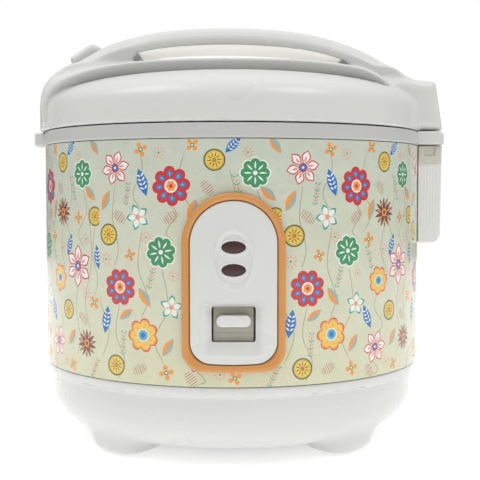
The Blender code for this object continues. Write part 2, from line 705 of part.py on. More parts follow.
def lid_height(x, y, radius):
    """Height of the lid's outer surface."""
    base = dome(radius, DOME_RISE, DOME_POWER)
    crown = dome(radius, CROWN_RISE, CROWN_POWER)
    well = 1 - ease(math.hypot(x / WELL_HALF[0], y / WELL_HALF[1]), 0.72, 1.0)
    return base + (crown - base) * crown_share(x, y) - WELL_DEPTH * well


def lid_wall_radius(x, y):
    """Radius of the lid's wall, with the strap that stands proud on its left side."""
    strap = (1 - ease(abs(y), CROWN_HALF - 4, CROWN_FOOT)) if x < 0 else 0.0
    return LID_R + STRAP_BULGE * strap


def lid_surface(offset):
    """Rows of points over the lid from its lower rim to its middle, moved inwards by offset."""
    shares = (0.99, 0.95, 0.87, 0.75, 0.62, 0.54, 0.46, 0.38, 0.30, 0.22, 0.12)
    rows = [[] for _ in range(len(shares) + 2)]
    for step in range(LID_STEPS):
        angle = math.tau * step / LID_STEPS
        across, along = math.cos(angle), math.sin(angle)
        wall = lid_wall_radius(LID_R * across, LID_R * along)
        inner = wall - offset
        for row, z in ((0, LID_LOW), (1, LID_WALL_TOP - offset)):
            radius = inner - (0.8 if row else 0.0)
            rows[row].append((radius * across, radius * along, z))
        for row, share in enumerate(shares, 2):
            radius = (inner - 0.8) * share
            z = lid_height(LID_R * share * across, LID_R * share * along, LID_R * share) - offset
            rows[row].append((radius * across, radius * along, z))
    return rows


def make_lid_cover():
    """The domed outer lid with its raised crown, finger well and left-hand strap."""
    outer = lid_surface(0.0)
    inner = lid_surface(LID_WALL)
    points = []
    faces = []
    for rows in (outer, inner):
        first = len(points)
        for row in rows:
            points.extend(row)
        for row in range(len(rows) - 1):
            for step in range(LID_STEPS):
                after = (step + 1) % LID_STEPS
                here = first + row * LID_STEPS
                there = here + LID_STEPS
                faces.append([here + step, here + after, there + after, there + step])
        top = first + (len(rows) - 1) * LID_STEPS
        points.append((0.0, 0.0, rows[-1][0][2]))
        for step in range(LID_STEPS):
            faces.append([top + step, top + (step + 1) % LID_STEPS, len(points) - 1])
    inside = len(outer) * LID_STEPS + 1
    for step in range(LID_STEPS):
        after = (step + 1) % LID_STEPS
        faces.append([step, after, inside + after, inside + step])
    cover = place("lid_cover", points, faces, "white_plastic", HINGE_POINT)
    cut(cover, cylinder("cut_vent_hole", VENT_R + GAP, 190.0, 240.0, None, 24, (0.0, VENT_Y)))
    stem = ((STEM_X[0] - 0.6, -STEM_HALF - 0.6, 205.0), (STEM_X[1] + 0.6, STEM_HALF + 0.6, 240.0))
    cut(cover, box("cut_stem_hole", *stem, None))


def arch_sections(stations):
    """U-shaped sections of the handle arch, open below."""
    wall = ARCH_WALL
    sections = []
    for x in stations:
        top, low, half = spline(ARCH_TOP, x), arch_low(x), arch_half(x)
        shoulder = min(7.0, (top - low) * 0.6)
        outer = [
            (-half, low), (-half, top - shoulder), (-half + 0.3 * shoulder, top - 0.3 * shoulder),
            (-half + shoulder, top), (half - shoulder, top), (half - 0.3 * shoulder, top - 0.3 * shoulder),
            (half, top - shoulder), (half, low),
        ]
        inner = [
            (half - wall, low), (half - wall, top - shoulder - 0.4), (half - shoulder, top - wall),
            (shoulder - half, top - wall), (wall - half, top - shoulder - 0.4), (wall - half, low),
        ]
        sections.append([(x, y, z) for y, z in outer + inner])
    return sections


def arch_low(x):
    """Underside of the arch: a thick beam in the middle, down to the crown at its two roots."""
    beam = spline(ARCH_TOP, x) - ARCH_THICK
    crown = lid_height(x, 40.0, math.hypot(x, 40.0)) if x < ARCH_GAP_X[1] else 0.0
    seat = max(crown, lid_height(x, 0.0, abs(x)) if abs(x) > WELL_HALF[0] else 0.0) + 0.6
    left = 1 - ease(x, ARCH_GAP_X[0] - 26, ARCH_GAP_X[0])
    right = ease(x, ARCH_GAP_X[1], ARCH_GAP_X[1] + 22)
    return beam + (seat - beam) * max(left, right)


def arch_half(x):
    """Half the arch's width: flared at the left root, and widened a little towards the hinge."""
    flare = 1 - ease(x, -108.0, -62.0)
    return ARCH_HALF + (ARCH_ROOT_HALF - ARCH_HALF) * flare + 3.0 * ease(x, 60.0, 108.0)


def make_handle():
    """The arched handle over the lid and the ribbed cover under its grip."""
    first, last = ARCH_ENDS
    stations = [first + (last - first) * i / (ARCH_STATIONS - 1) for i in range(ARCH_STATIONS)]
    handle = loft("handle_arch", arch_sections(stations), "white_plastic")
    outline_low = min(point[0] for point in BUTTON_OUTLINE) - 0.6
    outline_high = max(point[0] for point in BUTTON_OUTLINE) + 0.6
    well = ((outline_low, -BUTTON_HALF - 0.6, 225.0), (outline_high, BUTTON_HALF + 0.6, 265.0))
    cut(handle, box("cut_button_well", *well, None))

    sections = []
    for index in range(12):
        x = ARCH_GAP_X[0] + 3 + (ARCH_GAP_X[1] - ARCH_GAP_X[0] - 6) * index / 11
        low = arch_low(x) + 0.3
        half = arch_half(x) - ARCH_WALL - GAP
        sections.append([(x, -half, low), (x, half, low), (x, half, low + 1.8), (x, -half, low + 1.8)])
    loft("handle_underside", sections, "handle_plastic")


def make_hinge_block():
    """The block at the lid's right rim that hides the hinge, and the two knuckles on the pin."""
    outer = [
        (111.2, BLOCK_LOW), (132.6, BLOCK_LOW), (128.2, 220.6), (127.0, 223.0), (124.6, 224.2),
        (111.2, 225.2),
    ]
    block = prism("hinge_cover", outer, -HINGE_HALF, HINGE_HALF, "white_plastic", "Y", HINGE_POINT)
    profile = [(0.0, LID_LOW - 8)]
    for share in (1.0, 0.997, 0.985, 0.95, 0.89, 0.80, 0.0):
        low = LID_LOW - 8 if share == 1.0 else dome(LID_R * share, DOME_RISE, DOME_POWER) + 0.6
        profile.append((LID_R * share + (0.6 if share else 0.0), low))
    dome_cutter = lathe("cut_block_dome", profile, None, 112, open_ends=True)
    inner = [(90.0, BLOCK_LOW - 6), (130.0, BLOCK_LOW - 6), (125.4, 221.6), (90.0, 223.0)]
    hollow = prism("cut_block_hollow", inner, 2.4 - HINGE_HALF, HINGE_HALF - 2.4, None, "Y")
    cut(block, hollow)
    cut(block, dome_cutter)
    make_knuckles()


def make_knuckles():
    """Two knuckles on the hinge pin, joined by the plate that holds them inside the hinge cover."""
    back, front = HINGE_X - 7.0, HINGE_X - 2.1
    around = circle(KNUCKLE_R, (HINGE_X, HINGE_Z), 11, 180.0, 400.0)
    outline = [*around, (front, 194.2), (front, 206.0), (back, 206.0), (back, 193.6)]
    outline.append((HINGE_X - KNUCKLE_R, 192.9))
    knuckles = prism("hinge_knuckles", outline, -23.9, -7.0, "white_plastic", "Y", HINGE_POINT)
    cut(knuckles, prism("join_rear_knuckle", outline, 7.0, 23.9, None, "Y"), "UNION")
    cut(knuckles, box("join_knuckle_plate", (back, -23.9, 199.0), (front, 23.9, 206.0), None), "UNION")
    hole = cylinder("cut_knuckle_pin", PIN_R + GAP, -26.0, 26.0, None, 12, (HINGE_X, HINGE_Z), "Y")
    cut(knuckles, hole)


def make_lid_inside():
    """The liner under the lid, the inner lid with its seal and knob, and the steam tube."""
    liner = lathe(
        "lid_liner",
        [
            (0.0, 190.6), (111.8, 190.6), (111.8, 193.0), (116.8, 193.0), (116.8, 194.8), (110.2, 194.8),
            (110.2, 192.2), (0.0, 192.2),
        ],
        "white_plastic", 40, open_ends=True,
    )
    cut(liner, box("cut_liner_hook", (-125.0, -9.0, 186.0), (-112.4, 9.0, 200.0), None))
    cut(liner, cylinder("cut_liner_steam", 6.3, 186.0, 196.0, None, 16, (0.0, VENT_Y)))
    inner = lathe(
        "inner_lid",
        [(3.4, 187.6), (88.0, 187.6), (95.4, 188.4), (95.4, 189.2), (88.0, 188.4), (3.4, 188.4)],
        "aluminium", 36,
    )
    for index in range(5):
        angle = math.radians(72 * index + 5)
        at = (40 * math.cos(angle), 40 * math.sin(angle))
        cut(inner, cylinder(f"cut_steam_hole_{index}", 2.2, 184.0, 192.0, None, 8, at))
    lathe(
        "lid_seal",
        [(95.8, 187.1), (101.4, 187.1), (100.0, 190.2), (95.8, 190.2)],
        "silicone", 40,
    )
    knob = [
        (0.0, 184.8), (6.0, 184.8), (8.5, 186.0), (8.5, 187.2), (3.0, 187.2), (3.0, 190.2), (0.0, 190.2),
    ]
    lathe("inner_lid_knob", knob, "silicone", 20, open_ends=True)
    tube("steam_tube", 4.2, 6.0, 190.8, VENT_LOW - GAP, "silicone", 16, (0.0, VENT_Y))


def make_vent():
    """The steam vent's well in the lid and the cap that lifts out of it."""
    cup = [
        (4.2, VENT_LOW), (VENT_R, VENT_LOW), (VENT_R, VENT_RIM), (VENT_R - 1.6, VENT_RIM),
        (VENT_R - 1.6, VENT_LOW + 1.6), (4.2, VENT_LOW + 1.6),
    ]
    lathe("vent_well", cup, "white_plastic", 28, (0.0, VENT_Y, 0.0))
    reach = VENT_R - 1.6 - GAP
    cap = [
        (0.0, VENT_RIM + 2.4), (reach - 3.0, VENT_RIM + 1.8), (reach, VENT_RIM), (reach, VENT_RIM - 6.0),
        (reach - 1.4, VENT_RIM - 6.0), (reach - 1.4, VENT_RIM - 1.6), (0.0, VENT_RIM),
    ]
    lid = lathe("steam_vent_cap", cap, "white_plastic", 28, (0.0, VENT_Y, 0.0), open_ends=True)
    for index, x in enumerate((-5.0, 0.0, 5.0)):
        low, high = (x - 0.8, VENT_Y - 6, 220.0), (x + 0.8, VENT_Y + 6, 235.0)
        cut(lid, box(f"cut_cap_slot_{index}", low, high, None))


def make_latch():
    """The release button on the handle, the slider that its wedge draws back, and their springs."""
    low, high = STEM_X
    button = prism("release_button", BUTTON_OUTLINE, -BUTTON_HALF, BUTTON_HALF, "white_plastic", "Y")
    wedge_low, wedge_high = STEM_WEDGE_Z
    stem = [(low, wedge_low), (high, wedge_high), (high, 240.0), (low, 237.0)]
    cut(button, prism("join_button_stem", stem, -STEM_HALF, STEM_HALF, None, "Y"), "UNION")
    coil("button_spring", (-88.5, 0, 0), 2.9, 232.8, 237.4, 3, 0.5, "spring_steel", "Z", 8)

    z0, z1 = SLIDER_Z
    hook_out, hook_in = HOOK_X
    ramp = high + 0.45
    slider = [
        (hook_out - 0.7, HOOK_LOW), (hook_in, HOOK_LOW), (hook_in, z0), (-84.0, z0), (-84.0, z1),
        (ramp + 4.6, wedge_high + 2.0), (ramp + 0.6, wedge_high + 0.2), (ramp - 5.4, z1),
        (hook_out, z1), (hook_out, HOOK_LOW + 2.2),
    ]
    latch = prism("latch_slider", slider, -SLIDER_HALF, SLIDER_HALF, "white_plastic", "Y")
    slot = ((low - 4.4, -STEM_HALF - 0.6, z0 - 1), (low - 0.6, STEM_HALF + 0.6, z1 + 1))
    cut(latch, box("cut_stem_slot", *slot, None))
    guide = [
        (-9.0, 192.5), (9.0, 192.5), (9.0, 200.0), (6.4, 200.0), (6.4, 194.9), (-6.4, 194.9),
        (-6.4, 200.0), (-9.0, 200.0),
    ]
    prism("latch_guide", guide, -108.0, -82.0, "white_plastic", "X")


HINGE_POINT = (HINGE_X, 0.0, HINGE_Z)

for old in list(bpy.data.objects):
    bpy.data.objects.remove(old, do_unlink=True)
cooker_axis = bpy.data.objects.new("cooker_axis", None)
bpy.context.scene.collection.objects.link(cooker_axis)
cooker_axis.location = (AXIS_X * MM, AXIS_Y * MM, 0.0)

make_base()
make_shell()
make_ring()
make_pot()
make_liner()
make_heater()
make_thermostat()
make_bracket()
make_rocker()
make_magnet()
make_key()
make_panel()
make_inlet()
make_hinge_bracket()
make_keeper()
make_collector()
make_lid_cover()
make_handle()
make_hinge_block()
make_lid_inside()
make_vent()
make_latch()
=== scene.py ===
"""Looks of the rice cooker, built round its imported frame.

Shapes are written in millimetres from the cooker's own axis: X to the hinge, Y to the back, Z up from
the table. Curved parts are skins of signed distance fields, round parts are turned profiles, and the
printed shell is one flat tile of artwork that is triangulated, repeated and wrapped round the shell.
"""

import json
import math

import bmesh
import bpy
import numpy as np
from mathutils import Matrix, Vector, geometry


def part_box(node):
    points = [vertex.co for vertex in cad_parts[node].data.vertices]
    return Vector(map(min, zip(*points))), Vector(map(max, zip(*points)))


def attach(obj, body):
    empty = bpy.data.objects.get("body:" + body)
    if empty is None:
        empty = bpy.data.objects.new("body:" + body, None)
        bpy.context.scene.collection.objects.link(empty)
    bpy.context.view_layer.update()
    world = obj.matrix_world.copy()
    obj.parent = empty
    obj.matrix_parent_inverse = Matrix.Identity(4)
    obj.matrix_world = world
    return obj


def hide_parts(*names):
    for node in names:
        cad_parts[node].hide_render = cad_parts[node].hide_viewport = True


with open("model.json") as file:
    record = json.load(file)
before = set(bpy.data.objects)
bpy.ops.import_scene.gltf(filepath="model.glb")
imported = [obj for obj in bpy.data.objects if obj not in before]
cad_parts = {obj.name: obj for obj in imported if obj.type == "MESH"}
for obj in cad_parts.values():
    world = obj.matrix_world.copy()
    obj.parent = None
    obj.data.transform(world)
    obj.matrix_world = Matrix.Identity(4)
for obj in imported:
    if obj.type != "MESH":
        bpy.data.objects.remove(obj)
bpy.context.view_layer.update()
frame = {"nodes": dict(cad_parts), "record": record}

MM = 0.001
SHELL_BOX_LOW, SHELL_BOX_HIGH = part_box("outer_shell")
AXIS = (SHELL_BOX_LOW + SHELL_BOX_HIGH) / 2
BODY_OF = {node: body for body, nodes in frame["record"]["behaviour"]["bodies"].items() for node in nodes}
FINISHES = {}

# Main sizes, from the axis outwards and from the table upwards.
SHELL_R = 120.0
SHELL_LOW = 49.0
SHELL_TOP = 183.4
RING_R = 120.4
RING_LOW = 183.8
RING_TOP = 192.1
LID_LOW = 192.7
LID_R = 119.9
LID_WALL = 2.4
LID_WALL_TOP = 203.0
DOME_RISE = 25.8
DOME_POWER = 2.6
CROWN_RISE = 34.2
CROWN_POWER = 2.85
CROWN_HALF = 46.0
STRAP_BULGE = 3.2
WELL_HALF = (52.0, 33.0)
WELL_DEPTH = 12.0
VENT_Y = 84.0
VENT_R = 16.0
VENT_RIM = 227.0
FOOT_CIRCLE_R = 88.0

# The handle's upper edge, seen from the front, from its left root to the hinge.
ARCH_TOP = [
    (-113.0, 200.0), (-114.4, 209.0), (-114.6, 216.4), (-111.4, 223.6), (-103.4, 230.6), (-80.0, 246.4),
    (-60.0, 253.4), (-35.0, 257.4), (0.0, 258.8), (35.0, 256.9), (60.0, 252.4), (80.0, 245.4),
    (96.0, 236.8), (108.0, 228.6), (114.0, 224.0),
]
ARCH_HALF = 24.0
ARCH_ROOT_HALF = 38.0
ARCH_THICK = 11.6
ARCH_GAP_X = (-62.0, 72.0)
GRIP_BELLY = 3.2
BUTTON_OUTLINE = [
    (-104.4, 240.8, 1.6), (-90.4, 250.3, 4.0), (-84.6, 247.6, 2.4), (-84.6, 243.0, 0.6), (-102.2, 232.5, 0.6),
]
BUTTON_HALF = 10.5
HINGE_HALF = 30.0
HINGE_OUT = 133.0

# Front panel.
FRAME_HALF = 28.0
FRAME_LOW = 57.3
FRAME_TOP = 154.6
FRAME_R = 123.6
FACE_HALF = 23.3
FACE_LOW = 61.7
FACE_TOP = 150.1
FACE_R = 123.0
PANEL_R_IN = 120.3
PANEL_CORNER = 11.0
LENS_HALF = (6.2, 3.1)
LENS_Z = {"cook": 125.1, "warm": 112.8}
OVAL_HALF = (9.8, 15.1)
OVAL_Z = 118.6
KEY_RECESS_HALF = 15.5
KEY_RECESS_LOW = 67.6
KEY_RECESS_TOP = 95.0
KEY_WINDOW_HALF = (11.8, 9.6)
KEY_WINDOW_Z = 83.5


# --- small helpers -----------------------------------------------------------------------------

def to_world(points):
    """Points in millimetres from the cooker's axis, as metres in the frame."""
    return np.asarray(points, float) * MM + np.array((AXIS.x, AXIS.y, 0.0))


def ease(value, low, high):
    share = np.clip((value - low) / (high - low), 0.0, 1.0)
    return share * share * (3.0 - 2.0 * share)


def smooth_min(a, b, reach):
    """The smaller of two distances, blended where they are within reach of each other."""
    near = np.maximum(reach - np.abs(a - b), 0.0) / reach
    return np.minimum(a, b) - near * near * reach * 0.25


def smooth_max(a, b, reach):
    return -smooth_min(-a, -b, reach)


def rounded(corners, steps=5):
    """A closed outline from corners (a, b) or (a, b, radius), each with a radius rounded off."""
    points = []
    for index, corner in enumerate(corners):
        here = Vector(corner[:2])
        if len(corner) < 3:
            points.append(tuple(here))
            continue
        back = Vector(corners[index - 1][:2]) - here
        ahead = Vector(corners[(index + 1) % len(corners)][:2]) - here
        reach = min(corner[2], 0.49 * back.length, 0.49 * ahead.length)
        start = here + back.normalized() * reach
        end = here + ahead.normalized() * reach
        for step in range(steps + 1):
            t = step / steps
            points.append(tuple((1 - t) ** 2 * start + 2 * t * (1 - t) * here + t * t * end))
    return points


def flowing(points, steps=6):
    """A smooth line through all the points, as a denser list."""
    points = [Vector(point) for point in points]
    ends = [2 * points[0] - points[1], *points, 2 * points[-1] - points[-2]]
    line = []
    for before, start, end, after in zip(ends, ends[1:], ends[2:], ends[3:]):
        for step in range(steps):
            t = step / steps
            line.append(tuple(0.5 * (
                2 * start + (end - before) * t + (2 * before - 5 * start + 4 * end - after) * t * t
                + (3 * start - before - 3 * end + after) * t ** 3
            )))
    line.append(tuple(points[-1]))
    return line


def outline_distance(corners, a, b):
    """Distance from the points (a, b) to a closed outline, negative inside it."""
    corners = np.array(corners, float)
    nearest = np.full(np.broadcast(a, b).shape, 1e9)
    inside = np.zeros(nearest.shape, bool)
    for start, end in zip(corners, np.roll(corners, -1, axis=0)):
        edge = end - start
        if not edge.any():
            continue
        from_a, from_b = a - start[0], b - start[1]
        share = np.clip((from_a * edge[0] + from_b * edge[1]) / (edge @ edge), 0.0, 1.0)
        nearest = np.minimum(nearest, (from_a - edge[0] * share) ** 2 + (from_b - edge[1] * share) ** 2)
        if edge[1]:
            inside ^= ((start[1] > b) != (end[1] > b)) & (from_a < edge[0] * from_b / edge[1])
    return np.where(inside, -1.0, 1.0) * np.sqrt(nearest)


def box_distance(a, b, half, centre=(0.0, 0.0), corner=0.0):
    """Distance to a rectangle with rounded corners, negative inside it."""
    from_a = np.abs(a - centre[0]) - half[0] + corner
    from_b = np.abs(b - centre[1]) - half[1] + corner
    outside = np.hypot(np.maximum(from_a, 0.0), np.maximum(from_b, 0.0))
    return outside + np.minimum(np.maximum(from_a, from_b), 0.0) - corner


def oval_distance(a, b, half, centre=(0.0, 0.0), power=2.0):
    """Roughly the distance to a superellipse, negative inside it."""
    size = (np.abs((a - centre[0]) / half[0]) ** power + np.abs((b - centre[1]) / half[1]) ** power)
    return (size ** (1.0 / power) - 1.0) * min(half)


# --- making pieces -----------------------------------------------------------------------------

def place(name, points, faces, nodes, finish=None, normals=None, sharp=35.0):
    """A piece that stands for CAD nodes, on their body, with the finish of the first unless one is named."""
    mesh = bpy.data.meshes.new(name)
    mesh.from_pydata(to_world(points).tolist(), [], [list(map(int, face)) for face in faces])
    obj = bpy.data.objects.new(name, mesh)
    bpy.context.scene.collection.objects.link(obj)
    if normals is None:
        body = bmesh.new()
        body.from_mesh(mesh)
        bmesh.ops.recalc_face_normals(body, faces=body.faces)
        body.to_mesh(mesh)
        body.free()
    mesh.shade_smooth()
    if normals is None:
        mesh.set_sharp_from_angle(angle=math.radians(sharp))
    else:
        mesh.normals_split_custom_set_from_vertices(normals.tolist())
    slot = frame["nodes"][nodes[0]].data.materials[0].name.split(".")[0]
    mesh.materials.append(FINISHES[finish or slot])
    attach(obj, BODY_OF[nodes[0]])
    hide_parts(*nodes)
    return obj


def turned(name, outline, nodes, centre=(0.0, 0.0), steps=160, finish=None, ribs=None):
    """A round piece from its outline (radius, z), closed unless it starts and ends on the axis."""
    open_ends = outline[0][0] == 0 and outline[-1][0] == 0
    rings = []
    points = []
    for radius, z in outline:
        if radius < 1e-6:
            rings.append([len(points)] * steps)
            points.append((centre[0], centre[1], z))
            continue
        rings.append(list(range(len(points), len(points) + steps)))
        for step in range(steps):
            angle = math.tau * step / steps
            reach = radius + (ribs(angle, radius) if ribs else 0.0)
            points.append((centre[0] + reach * math.cos(angle), centre[1] + reach * math.sin(angle), z))
    faces = []
    pairs = zip(rings, rings[1:]) if open_ends else zip(rings, rings[1:] + rings[:1])
    for low, high in pairs:
        for step in range(steps):
            after = (step + 1) % steps
            corners = [low[step], low[after], high[after], high[step]]
            faces.append(list(dict.fromkeys(corners)))
    return place(name, points, faces, nodes, finish)


def cut_away(piece, name, outlines, low, high):
    """Cuts upright prisms of some outlines out of a piece, from one height to another."""
    points = []
    faces = []
    for outline in outlines:
        first = len(points)
        count = len(outline)
        points += [(a, b, height) for height in (low, high) for a, b in outline]
        faces.append([first + index for index in range(count)][::-1])
        faces.append([first + count + index for index in range(count)])
        for index in range(count):
            after = (index + 1) % count
            faces.append([first + index, first + after, first + count + after, first + count + index])
    mesh = bpy.data.meshes.new(name)
    mesh.from_pydata(to_world(points).tolist(), [], faces)
    cutter = bpy.data.objects.new(name, mesh)
    bpy.context.scene.collection.objects.link(cutter)
    cutter.hide_render = True
    cut = piece.modifiers.new(name, "BOOLEAN")
    cut.object = cutter


def circle(centre, radius, steps=32):
    turns = [math.tau * step / steps for step in range(steps)]
    return [(centre[0] + radius * math.cos(turn), centre[1] + radius * math.sin(turn)) for turn in turns]


def rectangle(low, high):
    return [low, (high[0], low[1]), high, (low[0], high[1])]


def soften(obj, width):
    """Rounds an object's sharp edges by a width in millimetres."""
    weld = obj.modifiers.new("weld", "WELD")
    weld.merge_threshold = 0.005 * MM
    bevel = obj.modifiers.new("round_edges", "BEVEL")
    bevel.width = width * MM
    bevel.segments = 3
    bevel.limit_method = "ANGLE"
    bevel.angle_limit = math.radians(38)
    bevel.harden_normals = True


def net(field, low, high, pitch):
    """The surface where field is zero, as points and quads, with each point on its cell's edge or corner.

    A cell's point is where the tangent planes at the cell's crossings meet best, so sharp edges stay sharp.
    """
    axes = [np.arange(start, end + pitch, pitch) for start, end in zip(low, high)]
    value = field(*np.meshgrid(*axes, indexing="ij", sparse=True))
    inside = value < 0
    cells = tuple(size - 1 for size in inside.shape)
    filled = np.zeros(cells, np.int8)
    for corner in np.ndindex(2, 2, 2):
        filled += inside[tuple(slice(c, c + size) for c, size in zip(corner, cells))]
    mixed = (filled > 0) & (filled < 8)
    number = np.full(cells, -1)
    number[mixed] = np.arange(mixed.sum())
    total = np.zeros((mixed.sum(), 16))
    faces = []
    for axis in range(3):
        along, first, second = np.roll(np.eye(3, dtype=int), -axis, axis=0)
        change = np.diff(inside.astype(np.int8), axis=axis)
        edges = np.argwhere(change)
        start = value[tuple(edges.T)]
        share = start / (start - value[tuple((edges + along).T)])
        crossing = np.array(low, float) + (edges + share[:, None] * along) * pitch
        normal = slope_at(crossing, field, 0.04)
        normal = normal / np.maximum(np.linalg.norm(normal, axis=1), 1e-6)[:, None]
        plane = normal[:, :, None] * normal[:, None, :]
        target = (plane @ crossing[:, :, None])[:, :, 0]
        row = np.hstack([plane.reshape(-1, 9), target, crossing, np.ones((len(edges), 1))])
        quads = [number[tuple((edges - shift).T)] for shift in (first + second, second, 0 * first, first)]
        quads = np.stack(quads, axis=1)
        for corner in quads.T:
            np.add.at(total, corner, row)
        turned_in = change[tuple(edges.T)] > 0
        quads[turned_in] = quads[turned_in, ::-1]
        faces.append(quads)
    total = total / total[:, 15:]
    middle = total[:, 12:15]
    pull = 0.05
    planes = total[:, :9].reshape(-1, 3, 3) + pull * np.eye(3)
    corner = np.linalg.solve(planes, (total[:, 9:12] + pull * middle)[:, :, None])[:, :, 0]
    return middle + np.clip(corner - middle, -pitch / 2, pitch / 2), np.concatenate(faces)


def slope_at(points, field, step):
    """The field's slope at each point, measured over a step to both sides."""
    shifts = np.eye(3) * step
    return np.stack([field(*(points + s).T) - field(*(points - s).T) for s in shifts], axis=1) / (2 * step)


def settle(points, field, pitch, rounds=2):
    """Moves points onto the surface where field is zero, and gives its normals there."""
    for _ in range(rounds):
        slope = slope_at(points, field, 0.04)
        size = np.maximum((slope * slope).sum(axis=1), 0.1)
        reach = np.clip(field(*points.T), -pitch / 2, pitch / 2)
        points = points - (reach / size)[:, None] * slope
    slope = slope_at(points, field, min(0.3, 0.3 * pitch))
    return points, slope / np.maximum(np.linalg.norm(slope, axis=1), 1e-6)[:, None]


def skin(name, field, low, high, pitch, nodes, finish=None, wrap=None):
    """A piece whose surface is where field(x, y, z) is zero. wrap bends the points and normals after."""
    points, faces = net(field, low, high, pitch)
    points, normals = settle(points, field, pitch)
    if wrap:
        points, normals = wrap(points, normals)
    return place(name, points, faces, nodes, finish, normals)


def wrap_front(points, normals):
    """From (along the shell, height, radius) to the front of the round shell."""
    angle = points[:, 0] / SHELL_R
    across, along = np.sin(angle), -np.cos(angle)
    around = np.stack([-along, across, 0 * angle], axis=1)
    out = np.stack([across, along, 0 * angle], axis=1)
    up = np.array((0.0, 0.0, 1.0))
    placed = out * points[:, 2:3] + up * points[:, 1:2]
    return placed, around * normals[:, 0:1] + up * normals[:, 1:2] + out * normals[:, 2:3]


# --- materials ---------------------------------------------------------------------------------

class Shader:
    """A new material with its Principled shader, and short ways to add nodes to it."""

    def __init__(self, name, roughness, metallic=0.0):
        self.material = bpy.data.materials.new(name)
        self.material.use_nodes = True
        self.tree = self.material.node_tree
        self.principled = self.tree.nodes["Principled BSDF"]
        self.principled.inputs["Roughness"].default_value = roughness
        self.principled.inputs["Metallic"].default_value = metallic
        self.place = self.node("ShaderNodeTexCoord").outputs["Object"]

    def node(self, kind, **settings):
        made = self.tree.nodes.new(kind)
        for key, value in settings.items():
            setattr(made, key, value)
        return made

    def link(self, start, end):
        self.tree.links.new(start, end)

    def set(self, socket, value):
        self.principled.inputs[socket].default_value = value

    def stretched(self, scale):
        """The object's coordinates, scaled differently along each axis."""
        mapping = self.node("ShaderNodeMapping")
        mapping.inputs["Scale"].default_value = scale
        self.link(self.place, mapping.inputs["Vector"])
        return mapping.outputs["Vector"]

    def noise(self, scale, detail=3.0, vector=None):
        texture = self.node("ShaderNodeTexNoise")
        texture.inputs["Scale"].default_value = scale
        texture.inputs["Detail"].default_value = detail
        self.link(vector or self.place, texture.inputs["Vector"])
        return texture.outputs["Fac"]

    def ramp(self, value, stops):
        """A colour for each value, from (position, colour) stops."""
        ramp = self.node("ShaderNodeValToRGB")
        elements = ramp.color_ramp.elements
        while len(elements) < len(stops):
            elements.new(0.5)
        for element, (position, colour) in zip(elements, stops):
            element.position = position
            element.color = (*colour, 1.0)
        self.link(value, ramp.inputs["Fac"])
        return ramp.outputs["Color"]

    def span(self, value, low, high):
        """A value from a texture, spread from low to high."""
        spread = self.node("ShaderNodeMapRange")
        spread.inputs["From Min"].default_value = 0.3
        spread.inputs["From Max"].default_value = 0.7
        spread.inputs["To Min"].default_value = low
        spread.inputs["To Max"].default_value = high
        self.link(value, spread.inputs["Value"])
        return spread.outputs["Result"]

    def height_share(self, low, high):
        """0 below a height in millimetres, 1 above another, and even in between."""
        place = self.node("ShaderNodeSeparateXYZ")
        self.link(self.place, place.inputs["Vector"])
        share = self.node("ShaderNodeMapRange")
        share.inputs["From Min"].default_value = low * MM
        share.inputs["From Max"].default_value = high * MM
        self.link(place.outputs["Z"], share.inputs["Value"])
        return share.outputs["Result"]

    def colour(self, value, low, high):
        self.link(self.ramp(value, [(0.3, low), (0.7, high)]), self.principled.inputs["Base Color"])

    def rough(self, value, low, high):
        self.link(self.span(value, low, high), self.principled.inputs["Roughness"])

    def bump(self, value, height):
        """Relief of a height in millimetres."""
        bump = self.node("ShaderNodeBump")
        bump.inputs["Distance"].default_value = height * MM
        bump.inputs["Strength"].default_value = 1.0
        self.link(value, bump.inputs["Height"])
        self.link(bump.outputs["Normal"], self.principled.inputs["Normal"])


def moulded(name, colour, roughness=0.3, shade=0.94, grain=900.0, relief=0.0015, coat=0.0):
    """Moulded plastic or rubber: faint flow marks in its tone and gloss, and a fine grain."""
    shader = Shader(name, roughness)
    flow = shader.noise(25.0, 1.0)
    shader.colour(flow, tuple(shade * part for part in colour), colour)
    shader.rough(shader.noise(35.0, 1.0), roughness - 0.01, roughness + 0.015)
    shader.bump(shader.noise(grain, 2.0), relief)
    shader.set("Coat Weight", coat)
    shader.set("Coat Roughness", 0.12)
    FINISHES[name] = shader.material
    return shader


def metal(name, colour, roughness, lines=(30.0, 30.0, 900.0), relief=0.002):
    """Bare metal with fine working lines, stretched along two of its axes."""
    shader = Shader(name, roughness, 1.0)
    brushed = shader.noise(1.0, 4.0, shader.stretched(lines))
    shader.colour(brushed, tuple(0.82 * part for part in colour), colour)
    shader.rough(shader.noise(40.0, 3.0), roughness - 0.07, roughness + 0.1)
    shader.bump(brushed, relief)
    FINISHES[name] = shader.material
    return shader


def spangled_steel():
    """Galvanised sheet: zinc crystals that catch the light differently."""
    shader = Shader("galvanised_steel", 0.42, 1.0)
    crystals = shader.node("ShaderNodeTexVoronoi")
    crystals.inputs["Scale"].default_value = 160.0
    shader.link(shader.place, crystals.inputs["Vector"])
    shader.colour(crystals.outputs["Distance"], (0.42, 0.43, 0.44), (0.62, 0.63, 0.64))
    shader.rough(crystals.outputs["Distance"], 0.5, 0.32)
    FINISHES["galvanised_steel"] = shader.material


